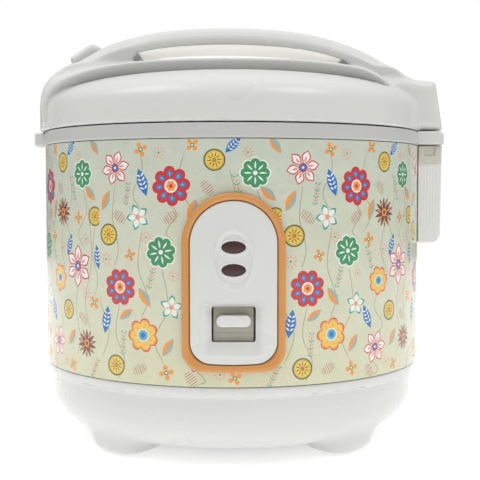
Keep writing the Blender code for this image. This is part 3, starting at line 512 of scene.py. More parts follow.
def printed_enamel():
    """The printed shell: a soft cream field that warms downwards, with the inks of the artwork on it."""
    shader = Shader("printed_steel", 0.3)
    field = shader.ramp(shader.height_share(SHELL_LOW, SHELL_TOP), [
        (0.0, (0.62, 0.62, 0.43)), (0.45, (0.60, 0.62, 0.48)), (1.0, (0.54, 0.58, 0.49)),
    ])
    ink = shader.node("ShaderNodeAttribute", attribute_name="ink")
    mix = shader.node("ShaderNodeMix", data_type="RGBA")
    shader.link(ink.outputs["Alpha"], mix.inputs["Factor"])
    shader.link(field, mix.inputs["A"])
    shader.link(ink.outputs["Color"], mix.inputs["B"])
    tone = shader.ramp(shader.noise(70.0, 4.0), [(0.3, (0.93, 0.93, 0.92)), (0.7, (1.0, 1.0, 1.0))])
    worn = shader.node("ShaderNodeMix", data_type="RGBA", blend_type="MULTIPLY")
    worn.inputs["Factor"].default_value = 1.0
    shader.link(mix.outputs["Result"], worn.inputs["A"])
    shader.link(tone, worn.inputs["B"])
    shader.link(worn.outputs["Result"], shader.principled.inputs["Base Color"])
    shader.rough(shader.noise(120.0, 3.0), 0.24, 0.36)
    shader.bump(shader.noise(240.0, 2.0), 0.012)
    shader.set("Coat Weight", 0.3)
    shader.set("Coat Roughness", 0.1)
    FINISHES["printed_steel"] = shader.material


def make_finishes():
    """One material for each material slot of the record."""
    moulded("white_plastic", (0.64, 0.642, 0.625), 0.28, 0.985, coat=0.2)
    moulded("ring_plastic", (0.50, 0.50, 0.485), 0.34, 0.98)
    # Painted light: the handle plastic is paler than the white plastic and glows faintly, to brighten the
    # grip's shaded underside.
    handle = moulded("handle_plastic", (0.86, 0.85, 0.81), 0.4, 0.97)
    handle.set("Emission Color", (0.95, 0.93, 0.89, 1.0))
    handle.set("Emission Strength", 0.4)
    moulded("orange_plastic", (0.60, 0.265, 0.066), 0.36, 0.95, coat=0.15)
    moulded("key_plastic", (0.40, 0.395, 0.315), 0.38, 0.9)
    moulded("black_plastic", (0.03, 0.03, 0.032), 0.42, 0.8)
    moulded("rubber", (0.2, 0.2, 0.2), 0.7, 0.85, grain=500.0, relief=0.02)
    moulded("silicone", (0.62, 0.62, 0.6), 0.5, 0.93)
    moulded("ferrite", (0.09, 0.085, 0.08), 0.6, 0.75, grain=600.0, relief=0.03)
    moulded("lens", (0.052, 0.018, 0.016), 0.34, 0.7, coat=0.1)
    clear = moulded("clear_plastic", (0.70, 0.70, 0.68), 0.36, 0.97)
    # Painted shade: the dew cup turns darker and warmer above about 172 mm, for the dim inside that shows
    # through its wall.
    rise = clear.height_share(170.0, 174.0)
    painted_shade_top = clear.ramp(rise, [(0.0, (0.72, 0.72, 0.70)), (1.0, (0.58, 0.565, 0.49))])
    clear.link(painted_shade_top, clear.principled.inputs["Base Color"])
    lamp = moulded("lamp_glass", (0.7, 0.4, 0.2), 0.08, 0.9)
    lamp.set("Transmission Weight", 0.8)
    metal("aluminium", (0.86, 0.86, 0.87), 0.3)
    metal("cast_aluminium", (0.7, 0.7, 0.71), 0.48, (400.0, 400.0, 400.0), 0.02)
    metal("spring_steel", (0.6, 0.6, 0.62), 0.25)
    metal("brass", (0.8, 0.6, 0.28), 0.25)
    spangled_steel()
    printed_enamel()


# --- base --------------------------------------------------------------------------------------

BOWL = [
    (92.5, 8.9), (99.5, 10.4), (106.2, 14.0), (111.8, 19.6), (115.2, 26.5), (116.0, 33.0), (116.0, 38.0),
]
BOWL_LIP = [
    (116.1, 41.4), (117.4, 43.6, 1.0), (119.5, 44.4, 0.9), (119.5, 48.6, 0.5), (0.0, 48.6), (0.0, 8.9),
]
BOWL_HOLLOW = [
    (0.0, 0.0), (69.8, 0.0), (69.8, 11.1), (91.5, 11.1), (98.4, 12.6), (104.6, 15.9), (109.8, 21.1),
    (112.8, 27.2), (113.6, 33.5), (113.6, 42.0), (117.1, 46.0), (117.1, 54.0), (0.0, 54.0),
]
FOOT_HEIGHT = 16.0


def foot_field(x, y, z, turn):
    """One foot lobe: a superellipsoid standing on the table under the bowl's rim."""
    along = (x + y * turn[1] / turn[0]) * turn[0]
    across = y * turn[0] - x * turn[1]
    droop = np.clip((FOOT_HEIGHT - z) / (FOOT_HEIGHT - 0.4), 0.0, 1.0) ** 4
    shrink = np.maximum(1 - droop, 1e-4) ** 0.25
    shrink = shrink * (1 - 0.12 * ease(z, FOOT_HEIGHT, 30.0))
    size = np.abs(across / 20.4) ** 2.8 + np.abs((along - FOOT_CIRCLE_R - 0.8) / 18.6) ** 2.8
    lobe = (size ** (1 / 2.8) - shrink) * 18.0
    return np.maximum(lobe, np.maximum(1.0 - z, z - 32.0))


def base_field(x, y, z):
    """The bowl with its four feet, hollow inside, and the socket opening at the back."""
    radius = np.hypot(x, y)
    bowl = outline_distance(flowing(BOWL) + rounded(BOWL_LIP), radius, z)
    diagonal = math.sqrt(0.5)
    for turn in ((diagonal, diagonal), (-diagonal, diagonal), (diagonal, -diagonal), (-diagonal, -diagonal)):
        bowl = smooth_min(bowl, foot_field(x, y, z, turn), 6.0)
    hollow = outline_distance(BOWL_HOLLOW, radius, z)
    socket = smooth_max(box_distance(x, z, (15.4, 10.4), (0.0, 28.0), 2.0), 95.0 - y, 0.3)
    return smooth_max(smooth_max(bowl, -hollow, 0.4), -socket, 0.6)


def make_base():
    skin("base_skin", base_field, (-124, -124, -1), (124, 124, 51), 1.3, ["base_housing"])
    pad = rounded([(0.0, 0.0), (6.6, 0.0, 0.5), (7.0, 0.7, 0.2), (0.0, 0.7)])
    for node in [name for name in frame["nodes"] if name.startswith("foot_pad_")]:
        low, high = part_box(node)
        middle = ((low + high) / 2 - AXIS) / MM
        turned(f"{node}_skin", pad, [node], (middle.x, middle.y), 48)


# --- printed shell -----------------------------------------------------------------------------

TILES = 7
TILE_WIDTH = math.tau * SHELL_R / TILES
TILE_COLUMNS = 34
TILE_START = -0.215 * math.tau
OPENING_HALF = 18.0
OPENING_LOW = 66.0
OPENING_TOP = 140.0
INKS = {
    "white": (0.80, 0.80, 0.76), "red": (0.56, 0.035, 0.04), "blue": (0.03, 0.17, 0.46),
    "sky": (0.10, 0.42, 0.60), "teal": (0.03, 0.33, 0.28), "orange": (0.82, 0.30, 0.06),
    "yellow": (0.80, 0.53, 0.10), "green": (0.05, 0.28, 0.12), "lime": (0.42, 0.48, 0.10),
    "brown": (0.16, 0.06, 0.035), "salmon": (0.78, 0.30, 0.20), "stem": (0.36, 0.30, 0.17),
    "pink": (0.74, 0.22, 0.24), "grey": (0.33, 0.40, 0.36),
}


class Artwork:
    """Flat shapes of ink on one tile, each over the ones before it."""

    def __init__(self):
        self.shapes = []

    def shape(self, points, ink):
        self.shapes.append((points, ink))

    def disc(self, at, radius, ink, sides=14):
        turns = [math.tau * side / sides for side in range(sides)]
        self.shape([(at[0] + radius * math.cos(t), at[1] + radius * math.sin(t)) for t in turns], ink)

    def scallop(self, at, radius, lobes, depth, ink, turn=0.0, sides=6):
        """A round flower with bulging lobes."""
        points = []
        for index in range(lobes * sides):
            angle = math.tau * index / (lobes * sides)
            reach = radius * (1 - depth + depth * abs(math.cos(lobes * angle / 2)) ** 0.7)
            points.append((at[0] + reach * math.cos(angle + turn), at[1] + reach * math.sin(angle + turn)))
        self.shape(points, ink)

    def petal(self, at, angle, start, length, width, ink, tip=0.35):
        """One petal that points away from a place; a small tip makes it pointed, a large one round."""
        out = Vector((math.cos(angle), math.sin(angle)))
        side = Vector((-out.y, out.x))
        left, right = [], []
        for index in range(1, 6):
            share = index / 6
            spread = width / 2 * math.sin(math.pi * share ** (0.5 + tip)) ** (0.5 + tip)
            middle = Vector(at) + out * (start + length * share)
            left.append(tuple(middle + side * spread))
            right.append(tuple(middle - side * spread))
        foot = Vector(at) + out * start
        head = Vector(at) + out * (start + length)
        self.shape([tuple(foot), *right, tuple(head), *left[::-1]], ink)

    def ring_of_petals(self, at, count, start, length, width, ink, turn=0.0, tip=0.35):
        for index in range(count):
            self.petal(at, turn + math.tau * index / count, start, length, width, ink, tip)

    def line(self, points, width, ink):
        """A thin stroke along a smooth line, pointed at its ends."""
        spine = [Vector(point) for point in flowing(points, 4)]
        left, right = [], []
        for before, here, after in zip(spine, spine[1:], spine[2:]):
            side = (after - before).orthogonal().normalized() * width / 2
            left.append(tuple(here + side))
            right.append(tuple(here - side))
        self.shape([tuple(spine[0]), *right, tuple(spine[-1]), *left[::-1]], ink)


def bloom(art, at, size, turn):
    """A white flower with red outlines and a blue eye."""
    art.ring_of_petals(at, 6, 0.12 * size, 0.92 * size, 0.60 * size, "red", turn, 0.7)
    art.ring_of_petals(at, 6, 0.20 * size, 0.76 * size, 0.44 * size, "white", turn, 0.7)
    art.ring_of_petals(at, 6, 0.30 * size, 0.40 * size, 0.12 * size, "pink", turn)
    art.disc(at, 0.27 * size, "red")
    art.disc(at, 0.20 * size, "blue")
    art.disc(at, 0.08 * size, "white", 8)


def rosette(art, at, size, turn):
    """A red flower with blue hearts and an orange eye."""
    art.scallop(at, size, 8, 0.20, "red", turn)
    art.ring_of_petals(at, 8, 0.36 * size, 0.46 * size, 0.30 * size, "blue", turn, 0.8)
    art.ring_of_petals(at, 8, 0.46 * size, 0.26 * size, 0.14 * size, "sky", turn, 0.8)
    art.disc(at, 0.34 * size, "white")
    art.scallop(at, 0.27 * size, 6, 0.2, "orange", turn, 4)
    art.disc(at, 0.10 * size, "red", 8)


def marigold(art, at, size, turn):
    """A yellow scalloped flower with a blue eye."""
    art.scallop(at, size, 7, 0.24, "red", turn)
    art.scallop(at, 0.93 * size, 7, 0.24, "orange", turn)
    art.scallop(at, 0.82 * size, 7, 0.22, "yellow", turn)
    art.ring_of_petals(at, 7, 0.40 * size, 0.28 * size, 0.07 * size, "orange", turn)
    art.disc(at, 0.38 * size, "white")
    art.disc(at, 0.32 * size, "sky")
    art.disc(at, 0.17 * size, "blue", 10)


def clover(art, at, size, turn):
    """A dark green scalloped flower with white veins and a white outline."""
    art.scallop(at, 1.1 * size, 8, 0.18, "white", turn)
    art.scallop(at, size, 8, 0.18, "green", turn)
    art.ring_of_petals(at, 8, 0.26 * size, 0.54 * size, 0.12 * size, "white", turn)
    art.disc(at, 0.16 * size, "white", 10)


def daisy(art, at, size, turn):
    """A dark flower with many thin petals, some of them salmon."""
    art.ring_of_petals(at, 14, 0.14 * size, 0.86 * size, 0.22 * size, "brown", turn, 0.4)
    art.ring_of_petals(at, 7, 0.30 * size, 0.52 * size, 0.10 * size, "salmon", turn)
    art.disc(at, 0.26 * size, "orange")
    art.disc(at, 0.14 * size, "brown", 10)


def snowdrop(art, at, size, turn):
    """A small white flower with teal tips."""
    art.ring_of_petals(at, 5, 0.10 * size, 0.90 * size, 0.56 * size, "teal", turn, 0.7)
    art.ring_of_petals(at, 5, 0.10 * size, 0.72 * size, 0.46 * size, "white", turn, 0.7)
    art.disc(at, 0.2 * size, "salmon", 10)


def spark(art, at, size, turn):
    """A small orange flower with four petals and a green eye."""
    art.ring_of_petals(at, 4, 0.05 * size, 0.95 * size, 0.66 * size, "orange", turn, 0.8)
    art.disc(at, 0.30 * size, "green", 10)
    art.disc(at, 0.14 * size, "white", 8)


def slice_of_fruit(art, at, size, turn):
    """A round slice with a brown rim and dark spokes."""
    art.disc(at, size, "brown", 20)
    art.disc(at, 0.88 * size, "lime", 20)
    art.disc(at, 0.76 * size, "yellow", 18)
    art.ring_of_petals(at, 10, 0.22 * size, 0.50 * size, 0.09 * size, "brown", turn)
    art.disc(at, 0.18 * size, "brown", 10)
    art.disc(at, 0.10 * size, "lime", 8)


def striped_leaf(art, at, size, turn):
    """A blue leaf with pale stripes across it."""
    art.petal(at, turn, -size, 2 * size, 0.80 * size, "blue", 0.5)
    for share in (-0.5, -0.2, 0.1, 0.4):
        middle = Vector(at) + Vector((math.cos(turn), math.sin(turn))) * size * share
        for side in (-1, 1):
            art.petal(middle, turn + side * 0.9, 0.03 * size, 0.34 * size, 0.12 * size, "white")


def split_leaf(art, at, size, turn):
    """A leaf that is orange on one side and grey green on the other."""
    out = Vector((math.cos(turn), math.sin(turn))) * size
    side = Vector((-out.y, out.x)) * 0.42
    at = Vector(at)
    for sign, ink in ((1, "orange"), (-1, "grey")):
        shares = (0.6, 0.2, -0.2, -0.6)
        bow = [at + out * share + side * sign * math.cos(math.pi * share / 2) for share in shares]
        art.shape([tuple(at - out), tuple(at + out), *map(tuple, bow)][::sign], ink)


def sprig(art, at, size, turn):
    """A feathery sprig: a thin stem with short strokes on both sides."""
    out = Vector((math.cos(turn), math.sin(turn)))
    at = Vector(at)
    art.line([tuple(at - out * size), tuple(at), tuple(at + out * size)], 0.35, "stem")
    for index in range(7):
        foot = at + out * size * (index / 3 - 1)
        for side in (-1, 1):
            ink = ("teal", "salmon")[index % 2]
            art.petal(foot, turn + side * 0.8, 0.15, 0.42 * size, 0.55, ink)


def hatch(art, at, size, turn):
    """A patch of short slanting strokes."""
    out = Vector((math.cos(turn), math.sin(turn))) * size
    for index in range(-3, 4):
        middle = Vector(at) + Vector((-out.y, out.x)) * index * 0.30
        reach = out * (0.8 - 0.12 * abs(index))
        ink = ("red", "stem")[index % 2]
        art.line([tuple(middle - reach), tuple(middle), tuple(middle + reach)], 0.42, ink)


def burst(art, at, size, turn):
    """A small star of loose strokes."""
    art.ring_of_petals(at, 9, 0.34 * size, 0.66 * size, 0.14 * size, "salmon", turn)
    art.disc(at, 0.16 * size, "teal", 8)


# What is drawn where on the tile: motif, place across, height, size and turn.
LAYOUT = [
    (bloom, 12.0, 168.0, 9.5, 0.2), (marigold, 30.0, 76.0, 9.5, 0.5), (rosette, 47.0, 158.0, 11.0, 0.1),
    (daisy, 71.0, 143.0, 9.0, 0.3), (clover, 93.0, 165.0, 8.0, 0.0), (rosette, 15.0, 102.0, 10.5, 0.4),
    (bloom, 88.0, 112.0, 12.0, 0.5), (clover, 41.0, 122.0, 8.5, 0.2), (marigold, 66.0, 104.0, 8.5, 0.1),
    (daisy, 96.0, 68.0, 8.5, 0.2), (bloom, 63.0, 66.0, 9.5, 0.1), (snowdrop, 27.0, 141.0, 7.5, 0.7),
    (snowdrop, 47.0, 92.0, 7.0, 0.2), (slice_of_fruit, 7.0, 131.0, 6.2, 0.0),
    (slice_of_fruit, 77.0, 86.0, 6.0, 0.2), (slice_of_fruit, 71.0, 172.0, 6.0, 0.1),
    (slice_of_fruit, 12.0, 58.0, 6.0, 0.3), (slice_of_fruit, 104.0, 141.0, 5.6, 0.3),
    (spark, 29.0, 178.0, 4.4, 0.4), (spark, 57.0, 128.0, 4.4, 0.1), (spark, 103.0, 92.0, 4.4, 0.6),
    (spark, 44.0, 56.0, 4.6, 0.2), (spark, 82.0, 54.0, 4.2, 0.5), (spark, 89.0, 140.0, 4.0, 0.0),
    (spark, 22.0, 120.0, 3.8, 0.3), (spark, 59.0, 180.0, 4.0, 0.7),
    (striped_leaf, 30.0, 160.0, 8.0, 1.9), (striped_leaf, 79.0, 124.0, 7.0, 1.2),
    (striped_leaf, 5.0, 83.0, 8.0, 1.4), (striped_leaf, 56.0, 84.0, 7.5, 2.0),
    (striped_leaf, 106.0, 118.0, 7.0, 1.7), (striped_leaf, 81.0, 180.0, 6.0, 0.8),
    (split_leaf, 59.0, 145.0, 6.5, 1.2), (split_leaf, 31.0, 97.0, 6.5, 2.2),
    (split_leaf, 81.0, 70.0, 6.5, 0.9), (split_leaf, 100.0, 154.0, 6.0, 2.4),
    (split_leaf, 5.0, 150.0, 6.5, 1.1), (split_leaf, 45.0, 70.0, 6.0, 1.0),
    (split_leaf, 19.0, 87.0, 5.5, 0.6), (split_leaf, 104.0, 180.0, 5.5, 2.2),
    (sprig, 35.0, 108.0, 6.5, 1.3), (sprig, 84.0, 156.0, 6.5, 1.8), (sprig, 17.0, 70.0, 6.0, 1.5),
    (sprig, 103.0, 54.0, 5.5, 1.1), (sprig, 58.0, 117.0, 6.0, 1.9), (sprig, 20.0, 153.0, 5.5, 1.4),
    (hatch, 15.0, 141.0, 4.6, 0.9), (hatch, 58.0, 53.0, 4.4, 0.6), (hatch, 93.0, 82.0, 4.6, 1.0),
    (hatch, 47.0, 141.0, 4.6, 2.2), (hatch, 67.0, 157.0, 4.4, 0.7), (hatch, 28.0, 57.0, 4.4, 2.0),
    (burst, 5.0, 117.0, 4.4, 0.1), (burst, 70.0, 122.0, 4.2, 0.3), (burst, 40.0, 176.0, 4.0, 0.2),
    (burst, 74.0, 56.0, 4.0, 0.5), (burst, 96.0, 97.0, 4.2, 0.0), (burst, 32.0, 130.0, 3.8, 0.4),
    (burst, 96.0, 128.0, 3.8, 0.2), (burst, 48.0, 109.0, 3.6, 0.2), (burst, 89.0, 176.0, 3.6, 0.2),
]
# Stems: where each starts, how far it leans and the heights of its ends.
STEMS = [
    (12.0, 2.0, 112.0, 160.0), (47.0, -3.0, 128.0, 148.0), (71.0, 3.0, 98.0, 136.0),
    (93.0, -4.0, 122.0, 158.0),
    (15.0, 3.0, 50.0, 94.0), (88.0, 2.0, 60.0, 104.0), (41.0, -4.0, 60.0, 116.0), (66.0, 4.0, 72.0, 98.0),
    (30.0, 3.0, 84.0, 136.0), (98.0, -3.0, 74.0, 150.0), (63.0, 3.0, 50.0, 60.0), (27.0, -3.0, 145.0, 182.0),
    (55.0, 4.0, 132.0, 178.0), (79.0, -3.0, 128.0, 168.0), (3.0, 4.0, 60.0, 128.0), (104.0, 2.0, 95.0, 136.0),
]


def tile_artwork():
    art = Artwork()
    for start, lean, low, high in STEMS:
        middle = (low + high) / 2
        lower = [(start - lean / 2, low), (start + lean, (low + middle) / 2)]
        art.line(lower + [(start - lean, middle + 4), (start, high)], 0.45, "stem")
    for motif, across, height, size, turn in LAYOUT:
        motif(art, (across, height), size, turn)
    return art.shapes


def triangulated(shapes):
    """The tile cut along every shape's edge: its points, its triangles and each one's topmost ink."""
    points = []
    faces = []
    edges = []
    for index in range(TILE_COLUMNS + 1):
        across = TILE_WIDTH * index / TILE_COLUMNS
        points += [(across, SHELL_LOW), (across, SHELL_TOP)]
        edges.append((2 * index, 2 * index + 1))
    lower = list(range(0, len(points), 2))
    faces.append(lower + [index + 1 for index in lower[::-1]])
    inks = [None]
    for outline, ink in shapes:
        clipped = [(min(max(a, 0.02), TILE_WIDTH - 0.02), min(max(b, SHELL_LOW + 0.02), SHELL_TOP - 0.02))
                   for a, b in outline]
        faces.append(list(range(len(points), len(points) + len(clipped))))
        points += clipped
        inks.append(ink)
    result = geometry.delaunay_2d_cdt([Vector(point) for point in points], edges, faces, 0, 1e-5)
    found, _, triangles, _, _, sources = result
    return [tuple(point) for point in found], triangles, [inks[max(source, default=0)] for source in sources]


def make_shell():
    """The printed sheet round the shell, and the steel that carries it."""
    found, triangles, inks = triangulated(tile_artwork())
    points = []
    faces = []
    colours = []
    for tile in range(TILES):
        first = len(points)
        for across, height in found:
            angle = TILE_START + (across + tile * TILE_WIDTH) / SHELL_R
            points.append((SHELL_R * math.cos(angle), SHELL_R * math.sin(angle), height))
        faces += [[first + corner for corner in triangle] for triangle in triangles]
        colours += inks
    points = np.array(points)
    centres = points[np.array(faces)].mean(axis=1)
    kept = np.abs(centres[:, 0]) > OPENING_HALF
    kept |= (centres[:, 1] > 0) | (centres[:, 2] < OPENING_LOW) | (centres[:, 2] > OPENING_TOP)
    faces = [face for face, keep in zip(faces, kept) if keep]
    colours = [colour for colour, keep in zip(colours, kept) if keep]
    normals = points * (1.0, 1.0, 0.0) / SHELL_R
    sheet = place("printed_sheet", points, faces, ["outer_shell"], normals=normals)
    paint = np.array([(*INKS[ink], 1.0) if ink else (0.0, 0.0, 0.0, 0.0) for ink in colours])
    attribute = sheet.data.attributes.new("ink", "FLOAT_COLOR", "CORNER")
    attribute.data.foreach_set("color", np.repeat(paint, 3, axis=0).astype(np.float32).ravel())
    steel = [(119.2, SHELL_LOW), (119.9, SHELL_LOW), (119.9, SHELL_TOP), (119.2, SHELL_TOP)]
    shell = turned("shell_steel", steel, ["outer_shell"], finish="galvanised_steel")
    window = rectangle((-OPENING_HALF, -SHELL_R - 15.0), (OPENING_HALF, -SHELL_R + 15.0))
    cut_away(shell, "panel_opening", [window], OPENING_LOW, OPENING_TOP)


# --- ring and pot ------------------------------------------------------------------------------

def ring_field(x, y, z):
    """The collar between shell and lid, with a notch for the latch hook."""
    outline = rounded([
        (RING_R, RING_LOW, 0.5), (RING_R, RING_TOP, 0.9), (112.8, RING_TOP, 0.6), (112.8, 185.2, 0.8),
        (98.2, 185.2, 0.5), (98.2, 182.6, 0.5), (117.9, 182.6), (117.9, RING_LOW),
    ])
    ring = outline_distance(outline, np.hypot(x, y), z)
    notch = np.maximum(box_distance(y, x, (9.0, 9.0), (0.0, -117.0)), 186.0 - z)
    return smooth_max(ring, -notch, 0.4)


def make_ring_and_pot():
    skin("ring_skin", ring_field, (-122, -122, 181), (122, 122, 194), 1.2, ["top_ring"])
    pot = [
        (0.0, 46.5), (76.0, 46.5, 3.0), (89.0, 51.5, 7.0), (94.5, 66.0, 6.0), (94.5, 185.5, 1.2),
        (103.0, 185.5, 0.5), (103.0, 186.7, 0.5), (93.0, 186.7, 2.2), (93.0, 66.4, 6.0), (87.9, 52.6, 6.0),
        (75.8, 48.0, 3.0), (0.0, 48.0),
    ]
    turned("pot_skin", rounded(pot), ["inner_pot"])


# --- lid ---------------------------------------------------------------------------------------

def shoulder_distance(radius, height, rim, rise, power):
    """Distance to a dome of superellipse section that stands on a straight wall."""
    out = radius / rim
    up = np.maximum(height, 0.0) / rise
    size = np.maximum((out ** power + up ** power) ** (1 / power), 0.3)
    fall = size ** (1 - power)
    steep = np.hypot(fall * out ** (power - 1) / rim, fall * up ** (power - 1) / rise)
    return (size - 1) / np.maximum(steep, 0.2 / rim)


def arch_outline():
    """The handle's side outline: its top line, and its underside with both roots."""
    top = flowing(ARCH_TOP)
    grip = [point for point in top if ARCH_GAP_X[0] < point[0] < ARCH_GAP_X[1]]
    under = [(a, b - ARCH_THICK) for a, b in grip[::-1]]
    hinge_root = [(114.0, 206.0), (100.0, 206.0), (78.0, 232.0)]
    left_root = [(-62.5, 238.0), (-62.5, 228.0), (-104.0, 200.0)]
    return top + hinge_root + under + left_root


def arch_half(x):
    """Half the handle's width: flared at its left root and a little wider towards the hinge."""
    flare = (ARCH_ROOT_HALF - ARCH_HALF) * (1 - ease(x, -112.0, -62.0))
    return ARCH_HALF + flare + 3.0 * ease(x, 60.0, 108.0)


def arch_low(x):
    """Height of the grip's underside."""
    line = np.array([point for point in flowing(ARCH_TOP) if abs(point[0]) < 90.0])
    return np.interp(x, line[:, 0], line[:, 1]) - ARCH_THICK


HINGE_BLOCK = [
    (96.0, 193.3), (133.0, 193.3, 0.8), (129.2, 218.0, 1.5), (128.2, 224.0, 4.5), (112.0, 225.4, 6.0),
    (96.0, 226.0),
]


def cover_field(x, y, z):
    """The outside of the lid: dome, raised crown and strap, handle, and hinge block."""
    radius = np.hypot(x, y)
    dome = shoulder_distance(radius, z - LID_WALL_TOP, LID_R, DOME_RISE, DOME_POWER)
    strap = STRAP_BULGE * (1 - ease(x, -60.0, 0.0))
    crown = shoulder_distance(radius, z - LID_WALL_TOP, LID_R + strap, CROWN_RISE, CROWN_POWER)
    well = WELL_DEPTH * (1 - ease(np.hypot(x / WELL_HALF[0], y / WELL_HALF[1]), 0.66, 1.0))
    crown = crown + well * ease(z, 205.0, 215.0) + 9.0 * ease(x, 78.0, 116.0)
    gentle = 0.85 + 3.4 * (1 - ease(z, 206.0, 222.0))
    sides = (np.abs(y) - CROWN_HALF + gentle * np.maximum(-crown, 0.0)) / np.hypot(1.0, gentle)
    crown = smooth_max(crown, sides, 4.0)
    dome = dome + well * ease(z, 205.0, 215.0)
    lid = smooth_min(dome, crown, 1.0)
    round_edge = 1.6 + 10.4 * ease(z - arch_low(x), 2.0, 7.0)
    arch = smooth_max(outline_distance(arch_outline(), x, z), np.abs(y) - arch_half(x), round_edge)
    reach = 3.0 + 6.0 * (1 - ease(x, -100.0, -60.0))
    lid = smooth_min(lid, arch, reach)
    block = smooth_max(outline_distance(rounded(HINGE_BLOCK), x, z), np.abs(y) - HINGE_HALF, 7.0)
    return smooth_min(lid, block, 3.0)


def lid_field(x, y, z):
    """The hollow lid cover with the wells for the button and the grip plate and the hole for the vent."""
    solid = cover_field(x, y, z)
    button = outline_distance(rounded(BUTTON_OUTLINE), x, z) - 0.5
    above = np.maximum(np.abs(x + 94.5) - 10.4, 226.0 - z)
    button = np.maximum(np.minimum(button, above), np.abs(y) - BUTTON_HALF - 0.5)
    solid = smooth_max(solid, -button, 0.5)
    plate = np.maximum(np.abs(y) - arch_half(x) + 2.4, z - arch_low(x) - 2.6)
    plate = np.maximum(plate, np.abs(x - 5.0) - 64.4)
    solid = smooth_max(solid, -np.maximum(plate, arch_low(x) - 4.0 - z), 0.5)
    shell = np.maximum(solid, -(solid + LID_WALL + 1.8 * ease(z, 197.0, 205.0)))
    shell = smooth_max(shell, VENT_R + 0.3 - np.hypot(x, y - VENT_Y), 0.5)
    stem = np.maximum(np.abs(x + 96.5) - 3.2, np.maximum(np.abs(y) - 3.0, 205.0 - z))
    shell = np.maximum(shell, -np.maximum(stem, z - 240.0))
    return smooth_max(shell, LID_LOW - z, 0.9)


def make_grip_plate():
    """The cover under the grip, with fine ribs along it."""
    columns = 90
    rows = 96
    points = []
    for index in range(columns + 1):
        x = -59.0 + 128.0 * index / columns
        half = float(arch_half(x)) - 2.7
        low = float(arch_low(x)) + 0.4
        swell = math.sin(math.pi * index / columns) ** 0.5
        for row in range(rows + 1):
            across = 2.0 * row / rows - 1.0
            rib = 0.35 * abs(math.sin(math.pi * 12 * across)) if abs(across) < 0.92 else 0.0
            belly = GRIP_BELLY * math.sqrt(max(1 - across * across, 0.0)) * swell
            points.append((x, half * across, low + rib - belly))
        points.append((x, half, low + 1.8))
        points.append((x, -half, low + 1.8))
    ring = rows + 3
    faces = [list(range(ring)), list(range(columns * ring, (columns + 1) * ring))]
    for index in range(columns):
        for row in range(ring):
            after = (row + 1) % ring
            start = index * ring
            faces.append([start + row, start + after, start + ring + after, start + ring + row])
    place("grip_plate", points, faces, ["handle_underside"], sharp=50.0)


def button_cap_field(x, y, z):
    """The release button's cap, rounded all round."""
    side = outline_distance(rounded(BUTTON_OUTLINE), x, z)
    return smooth_max(side, np.abs(y) - BUTTON_HALF, 4.5)


def button_field(x, y, z):
    stem_low, stem_high = 199.4, 204.4
    wedge = stem_low + (x + 99.0) * (stem_high - stem_low) / 5.0
    stem = np.maximum(np.maximum(np.abs(x + 96.5) - 2.5, np.abs(y) - 2.4), np.maximum(wedge - z, z - 238.0))
    return smooth_min(button_cap_field(x, y, z), stem, 0.8)


def vent_cap_field(x, y, z):
    """The steam vent's cap with three slots."""
    reach = VENT_R - 1.9
    outline = rounded([
        (0.0, VENT_RIM + 2.4), (reach - 3.0, VENT_RIM + 1.9, 3.0), (reach, VENT_RIM - 0.2, 0.8),
        (reach, VENT_RIM - 6.0), (reach - 1.4, VENT_RIM - 6.0), (reach - 1.4, VENT_RIM - 1.6, 0.6),
        (0.0, VENT_RIM),
    ])
    cap = outline_distance(outline, np.hypot(x, y - VENT_Y), z)
    for shift in (-5.0, 0.0, 5.0):
        cap = smooth_max(cap, -box_distance(x, y, (0.9, 6.2), (shift, VENT_Y), 0.9), 0.3)
    return cap


def make_lid():
    nodes = ["lid_cover", "handle_arch", "hinge_cover"]
    skin("lid_skin", lid_field, (-128, -124, 191), (135, 124, 261), 1.5, nodes)
    make_grip_plate()
    skin("button_skin", button_field, (-107, -12, 197), (-82, 12, 253), 0.7, ["release_button"])
    middle = (0.0, VENT_Y)
    well = [
        (4.2, 206.0), (VENT_R, 206.0, 1.0), (VENT_R, VENT_RIM, 0.6), (VENT_R - 1.6, VENT_RIM, 0.6),
        (VENT_R - 1.6, 207.6, 1.0), (4.2, 207.6),
    ]
    turned("vent_well_skin", rounded(well), ["vent_well"], middle, 96)
    low, high = (-16, VENT_Y - 16, 219), (16, VENT_Y + 16, 231)
    skin("vent_cap_skin", vent_cap_field, low, high, 0.6, ["steam_vent_cap"])
    tube = rounded([(4.2, 190.8, 0.4), (6.0, 190.8, 0.4), (6.0, 205.7, 0.4), (4.2, 205.7, 0.4)])
    turned("steam_tube_skin", tube, ["steam_tube"], middle, 48)


